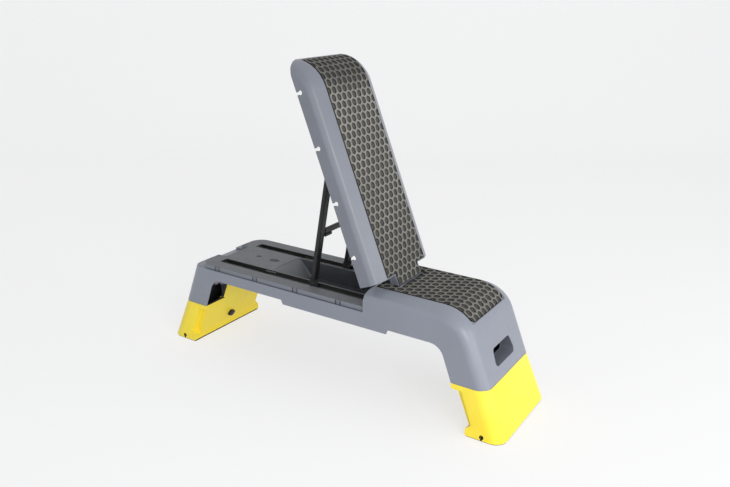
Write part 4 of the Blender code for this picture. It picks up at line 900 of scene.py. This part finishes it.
def dimple_tree():
    """Dimples pressed into a flat mat, in staggered rows that fade out at its rim."""
    nodes = Nodes("dimples", ["Pitch", "Row", "Radius", "Floor", "Depth", "Phase"])
    given = nodes.given
    across_x, across_y, _ = nodes.axes(nodes.add("GeometryNodeInputPosition").outputs[0])
    half = nodes.maths("MULTIPLY", given["Pitch"], 0.5)
    row = given["Row"]
    x_off = nodes.maths("PINGPONG", nodes.maths("SUBTRACT", across_x, given["Phase"]), row)
    y_off = nodes.maths("PINGPONG", across_y, half)
    away = []
    for x, y in ((x_off, y_off), (nodes.maths("SUBTRACT", row, x_off), nodes.maths("SUBTRACT", half, y_off))):
        ring = nodes.add("ShaderNodeVectorMath", {0: nodes.vector(x, y)}, operation="LENGTH")
        slanted = nodes.maths("ADD", *(nodes.maths("MULTIPLY", part, share)
                                       for part, share in zip((x, y), HEX_SLANT)))
        both = nodes.maths("ADD", ring.outputs["Value"], nodes.maths("MAXIMUM", y, slanted))
        away.append(nodes.maths("MULTIPLY", both, 0.5))
    nearest = nodes.maths("MINIMUM", *away)
    pressed = nodes.spread(nearest, 1.0, 0.0, given["Floor"], given["Radius"], "SMOOTHSTEP")
    rim = nodes.add("GeometryNodeInputNamedAttribute", {"Name": "rim"}, data_type="FLOAT").outputs[0]
    pressed = nodes.maths("MULTIPLY", pressed, nodes.spread(rim, 0.0, 1.0, *RIM_FADE, "SMOOTHSTEP"))
    edge = nodes.spread(rim, RIM_DROP, 0.0, 0.0, MAT_RIM)
    on_top = nodes.maths("GREATER_THAN", rim, UNDERSIDE / 2)
    drop = nodes.maths("MULTIPLY_ADD", pressed, given["Depth"], edge)
    drop = nodes.maths("MULTIPLY", nodes.maths("MULTIPLY", drop, on_top), -1.0)
    moved = nodes.add("GeometryNodeSetPosition", {"Geometry": given["Geometry"],
                                                  "Offset": nodes.vector(z=drop)}).outputs[0]
    pit = nodes.maths("MULTIPLY", pressed, on_top)
    stored = nodes.add("GeometryNodeStoreNamedAttribute", {"Geometry": moved, "Name": "pit", "Value": pit},
                       data_type="FLOAT", domain="POINT")
    nodes.close(stored.outputs[0], "mat_rubber")
    return nodes


def over_shoulder(point, start_x, round_x, side):
    """A point of the flat mat laid on the deck and over its round end."""
    s, t, h = point
    flat = round_x - start_x
    lift = h + MAT_PROUD
    if s <= flat:
        return Vector((side * (start_x + s), t, DECK_Z + lift))
    turn = (s - flat) / (SHOULDER_R + MAT_PROUD)
    radius = SHOULDER_R + lift
    x = round_x + radius * math.sin(turn)
    return Vector((side * x, t, DECK_Z - SHOULDER_R + radius * math.cos(turn)))


def mat_piece(name, start_x, round_x, turn, side, phase, **gap):
    """One dimpled mat, from the flat sheet to its place over the deck."""
    length = round_x - start_x + turn * (SHOULDER_R + MAT_PROUD) - MAT_TRIM
    made = MatSheet(length, **gap).piece(name)
    own = sizes()
    dimple_tree().run(made, {"Pitch": own.pit_pitch, "Row": own.pit_row, "Radius": own.pit_radius,
                             "Floor": own.pit_floor, "Depth": own.pit_depth, "Phase": phase})
    for v in made.data.vertices:
        v.co = over_shoulder(v.co, start_x, round_x, side)
    if side < 0:
        made.data.flip_normals()
    return made


def raised(made):
    """Turn a piece that was made with the lid shut up to the rest angle."""
    turn = Matrix.Rotation(BACK_TURN, 4, "Y")
    made.data.transform(Matrix.Translation(HINGE) @ turn @ Matrix.Translation(-HINGE))
    return made


class STEP_OT_mats(bpy.types.Operator):
    """Dimpled mats on the seat and on the lid"""

    bl_idname = "step.mats"
    bl_label = "Mats"

    def execute(self, context):
        start = SEAT_MAT_X + MAT_TRIM
        seat = mat_piece("seat_mat_dimpled", start, ROUND_X, SEAT_MAT_TURN, side=1, phase=SEAT_PIT_X - start,
                         gap_half=SEAT_GAP_HALF + MAT_TRIM, gap_length=SEAT_GAP_X - SEAT_MAT_X,
                         is_tongue=False)
        settle(seat, "mat_rubber", "base", "seat_mat")
        start = TONGUE_MAT_X - MAT_TRIM
        lid = mat_piece("lid_mat_dimpled", -start, ROUND_X - LID_SHORT, LID_MAT_TURN, side=-1,
                        phase=LID_PIT_OFF - (HINGE.x - start), gap_half=TONGUE_MAT_HALF - MAT_TRIM,
                        gap_length=TONGUE_MAT_X - LID_MAT_X, is_tongue=True)
        settle(raised(lid), "mat_rubber", "back", "backrest_mat")
        return {"FINISHED"}


class STEP_OT_shells(bpy.types.Operator):
    """Deck and lid mouldings, the tub and the slot liners"""

    bl_idname = "step.shells"
    bl_label = "Mouldings"

    def execute(self, context):
        own = sizes()
        softened("base_shell", "deck_moulding", "base", "base_plastic", own.shell_round)
        softened("backrest_shell", "lid_moulding", "back", "shell_plastic", own.shell_round)
        softened("storage_tub", "tub_moulding", "base", "tub_plastic", own.part_round)
        for side in ("near", "far"):
            softened("slot_liner_" + side, "slot_lining_" + side, "base", "black_plastic",
                     own.part_round * THIN_ROUND)
        return {"FINISHED"}


def lobed(turn, radius):
    """Distance to the edge of a knob with four rounded corners, in one direction from its axis."""
    if radius <= KNOB_SHAFT_R:
        return radius
    turn += KNOB_TURN
    wide, high = abs(math.cos(turn)), abs(math.sin(turn) * KNOB_NARROW)
    return radius / (wide ** KNOB_SQUARE + high ** KNOB_SQUARE) ** (1 / KNOB_SQUARE)


def knob_axis(side):
    """Where a knob's axis leaves its leg's panel, and the way out of it."""
    face = Vector((side * (PANEL_X - END_SLOPE * KNOB_Z), 0.0, KNOB_Z))
    return face, Vector((-side * math.cos(SLANT), 0.0, -math.sin(SLANT)))


def knob(side, name):
    """A four-cornered knob with a dished face, on the shaft that goes into the leg."""
    face, out = knob_axis(side)
    across = Vector((0.0, 1.0, 0.0))
    up = out.cross(across)
    turns = [2 * math.pi * i / KNOB_FACES for i in range(KNOB_FACES)]
    bm = bmesh.new()
    rings = []
    for along, share in KNOB_STEPS:
        rings.append([bm.verts.new(face + out * along + (across * math.cos(turn) + up * math.sin(turn))
                                   * lobed(turn, KNOB_R * share)) for turn in turns])
    for low, high in zip(rings, rings[1:]):
        for i in range(KNOB_FACES):
            bm.faces.new((low[i - 1], low[i], high[i], high[i - 1]))
    bm.faces.new(rings[0])
    bm.faces.new(rings[-1])
    bmesh.ops.recalc_face_normals(bm, faces=bm.faces)
    return new_piece(name, bm, "black_plastic", KNOB_CRISP)


class STEP_OT_legs(bpy.types.Operator):
    """Yellow folding legs with their soles, pins, knobs and springs, and the rubber pads over them"""

    bl_idname = "step.legs"
    bl_label = "Folding legs"

    def spring(self, side, sign):
        """The coil behind a knob, pressed against the panel's inside when the knob is pulled."""
        node = "latch_spring_" + side
        made = settle(copied(node, "knob_coil_" + side, "plain_steel"), "plain_steel", "foot_" + side, node)
        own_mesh(made)

    def execute(self, context):
        own = sizes()
        for side, sign in (("left", -1), ("right", 1)):
            foot = "foot_" + side
            softened("leg_" + side, "yellow_leg_" + side, foot, "leg_plastic", own.shell_round)
            softened("leg_sole_" + side, "rubber_sole_" + side, foot, "black_rubber", own.part_round)
            repaint("leg_pin_" + side, "plain_steel")
            self.spring(side, sign)
            repaint("latch_clip_" + side, "plain_steel")
            settle(knob(sign, "cornered_knob_" + side), "black_plastic", "knob_" + side,
                   "latch_knob_" + side)
            for row in ("near", "far"):
                pad = "low_pad_%s_%s" % (side, row)
                softened(pad, "rubber_pad_%s_%s" % (side, row), "base", "black_rubber", own.part_round)
        return {"FINISHED"}


class STEP_OT_prop(bpy.types.Operator):
    """The prop, its feet and the brackets that hold it under the lid"""

    bl_idname = "step.prop"
    bl_label = "Prop"

    def execute(self, context):
        own = sizes()
        for side in ("near", "far"):
            repaint("prop_leg_" + side, "black_paint")
            softened("prop_foot_" + side, "rubber_foot_" + side, "prop", "black_rubber", own.part_round)
            softened("prop_bracket_" + side, "steel_bracket_" + side, "back", "black_paint",
                     own.part_round * BRACKET_ROUND)
            softened("prop_pin_" + side, "pivot_pin_" + side, "back", "plain_steel", own.part_round)
            for i in (1, 2):
                repaint("bracket_screw_%s_%d" % (side, i), "plain_steel")
        repaint("prop_crossbar", "black_paint")
        softened("prop_sleeve", "sleeve_block", "prop", "black_plastic", own.part_round)
        return {"FINISHED"}


class STEP_OT_hinge(bpy.types.Operator):
    """The lid's hinge rod with its caps, and the tub's screws"""

    bl_idname = "step.hinge"
    bl_label = "Hinge and screws"

    def execute(self, context):
        repaint("hinge_rod", "plain_steel")
        for side in ("near", "far"):
            repaint("hinge_cap_" + side, "black_plastic")
        for i in range(TUB_SCREWS):
            repaint("tub_screw_%d" % (i + 1), "plain_steel")
        return {"FINISHED"}


# Stage

def lamp(name, power, size, place, target):
    """A square soft lamp that faces a point."""
    data = bpy.data.lights.new(name, "AREA")
    data.energy = power
    data.size = size
    made = linked(name, data)
    made.location = place
    made.rotation_euler = (Vector(target) - Vector(place)).to_track_quat("-Z", "Y").to_euler()


def studio_paper(own):
    """White paper, partly of one even tone, so that the step's shadow on it stays light."""
    paper = Finish("studio_paper", 0.9, gloss=0.1)
    base = tuple(own.floor)
    paper.finish(paper.mix(paper.patches(0.6, detail=1.0), scaled(base, 0.985), base))
    even = paper.add("ShaderNodeEmission", {"Color": (*EVEN_TONE, 1.0)})
    share = paper.maths("MULTIPLY", paper.direct_rays(), own.glow)
    paper.mixed_shaders(share, paper.shader, even, "Material Output")
    return paper.made


def backdrop(paper):
    """White floor that curves up into a wall behind the step."""
    view = math.radians(CAMERA_TURN[0])
    away = Vector((-math.sin(view), math.cos(view), 0.0))
    across = Vector((math.cos(view), math.sin(view), 0.0))
    profile = [(PAPER_NEAR, 0.0)]
    for i in range(BEND_STEPS + 1):
        turn = math.pi / 2 * i / BEND_STEPS
        profile.append((PAPER_REACH + PAPER_BEND * math.sin(turn), PAPER_BEND - PAPER_BEND * math.cos(turn)))
    profile.append((PAPER_REACH + PAPER_BEND, PAPER_TOP))
    bm = bmesh.new()
    rows = [[bm.verts.new(away * d + across * w + Vector((0, 0, z))) for w in (-PAPER_HALF, PAPER_HALF)]
            for d, z in profile]
    for low, high in zip(rows, rows[1:]):
        bm.faces.new((low[0], low[1], high[1], high[0]))
    linked("studio_floor", smooth_mesh("studio_floor", bm, paper))


def white_room(strength):
    """Even light from the room, which the camera and reflections see as white."""
    world = bpy.data.worlds.new("white_room")
    bpy.context.scene.world = world
    world.use_nodes = True
    nodes = Tree(world.node_tree)
    light = nodes.tree.nodes["Background"]
    nodes.feed(light.inputs["Color"], (*ROOM_TONE, 1.0))
    nodes.feed(light.inputs["Strength"], strength)
    seen = nodes.add("ShaderNodeBackground", {"Color": (*EVEN_TONE, 1.0)})
    nodes.mixed_shaders(nodes.direct_rays(), light, seen, "World Output")


def photo_camera(lens):
    """Camera at the photograph's place, turned as it was held."""
    azimuth, elevation, roll = (math.radians(turn) for turn in CAMERA_TURN)
    back = Vector((math.sin(azimuth) * math.cos(elevation), -math.cos(azimuth) * math.cos(elevation),
                   math.sin(elevation)))
    right = (-back).cross(Vector((0, 0, 1))).normalized()
    up = right.cross(-back)
    c, s = math.cos(roll), math.sin(roll)
    turned = Matrix((c * right + s * up, c * up - s * right, back)).transposed().to_4x4()
    turned.translation = Vector(CAMERA_PLACE)
    data = bpy.data.cameras.new("photo_camera")
    data.sensor_width = SENSOR_WIDTH
    data.lens = lens
    made = linked("photo_camera", data)
    made.matrix_world = turned
    bpy.context.scene.camera = made


class STEP_OT_stage(bpy.types.Operator):
    """Camera, lamps and white backdrop"""

    bl_idname = "step.stage"
    bl_label = "Stage"

    def execute(self, context):
        own = context.scene.step_stage
        photo_camera(own.lens)
        backdrop(studio_paper(own))
        white_room(own.sky)
        for name, size, place, target in LAMPS:
            lamp(name + "_lamp", getattr(own, name), size, place, target)
        context.scene.view_settings.view_transform = "Standard"
        return {"FINISHED"}


class STEP_PT_panel(bpy.types.Panel):
    """Lists the makers and the values of the step"""

    bl_idname = "STEP_PT_panel"
    bl_label = "Aerobic step"
    bl_space_type = "VIEW_3D"
    bl_region_type = "UI"
    bl_category = "Step"

    def draw(self, context):
        for group in (context.scene.step_sizes, context.scene.step_colours, context.scene.step_stage):
            box = self.layout.box()
            for key in group.bl_rna.properties.keys():
                if key not in ("rna_type", "name"):
                    box.prop(group, key)
        for maker in MAKERS:
            self.layout.operator(maker.bl_idname)


MAKERS = (STEP_OT_stage, STEP_OT_shells, STEP_OT_mats, STEP_OT_legs, STEP_OT_prop, STEP_OT_hinge)
GROUPS = {"step_colours": StepColours, "step_sizes": StepSizes, "step_stage": StageSizes}
CLASSES = (*GROUPS.values(), *MAKERS, STEP_PT_panel)


def register():
    for made in CLASSES:
        bpy.utils.register_class(made)
    for name, group in GROUPS.items():
        setattr(bpy.types.Scene, name, bpy.props.PointerProperty(type=group))


def unregister():
    for name in GROUPS:
        delattr(bpy.types.Scene, name)
    for made in reversed(CLASSES):
        bpy.utils.unregister_class(made)


def main():
    """Make every piece in order."""
    register()
    for maker in MAKERS:
        group, _, name = maker.bl_idname.partition(".")
        getattr(getattr(bpy.ops, group), name)()


if __name__ == "__main__":
    main()
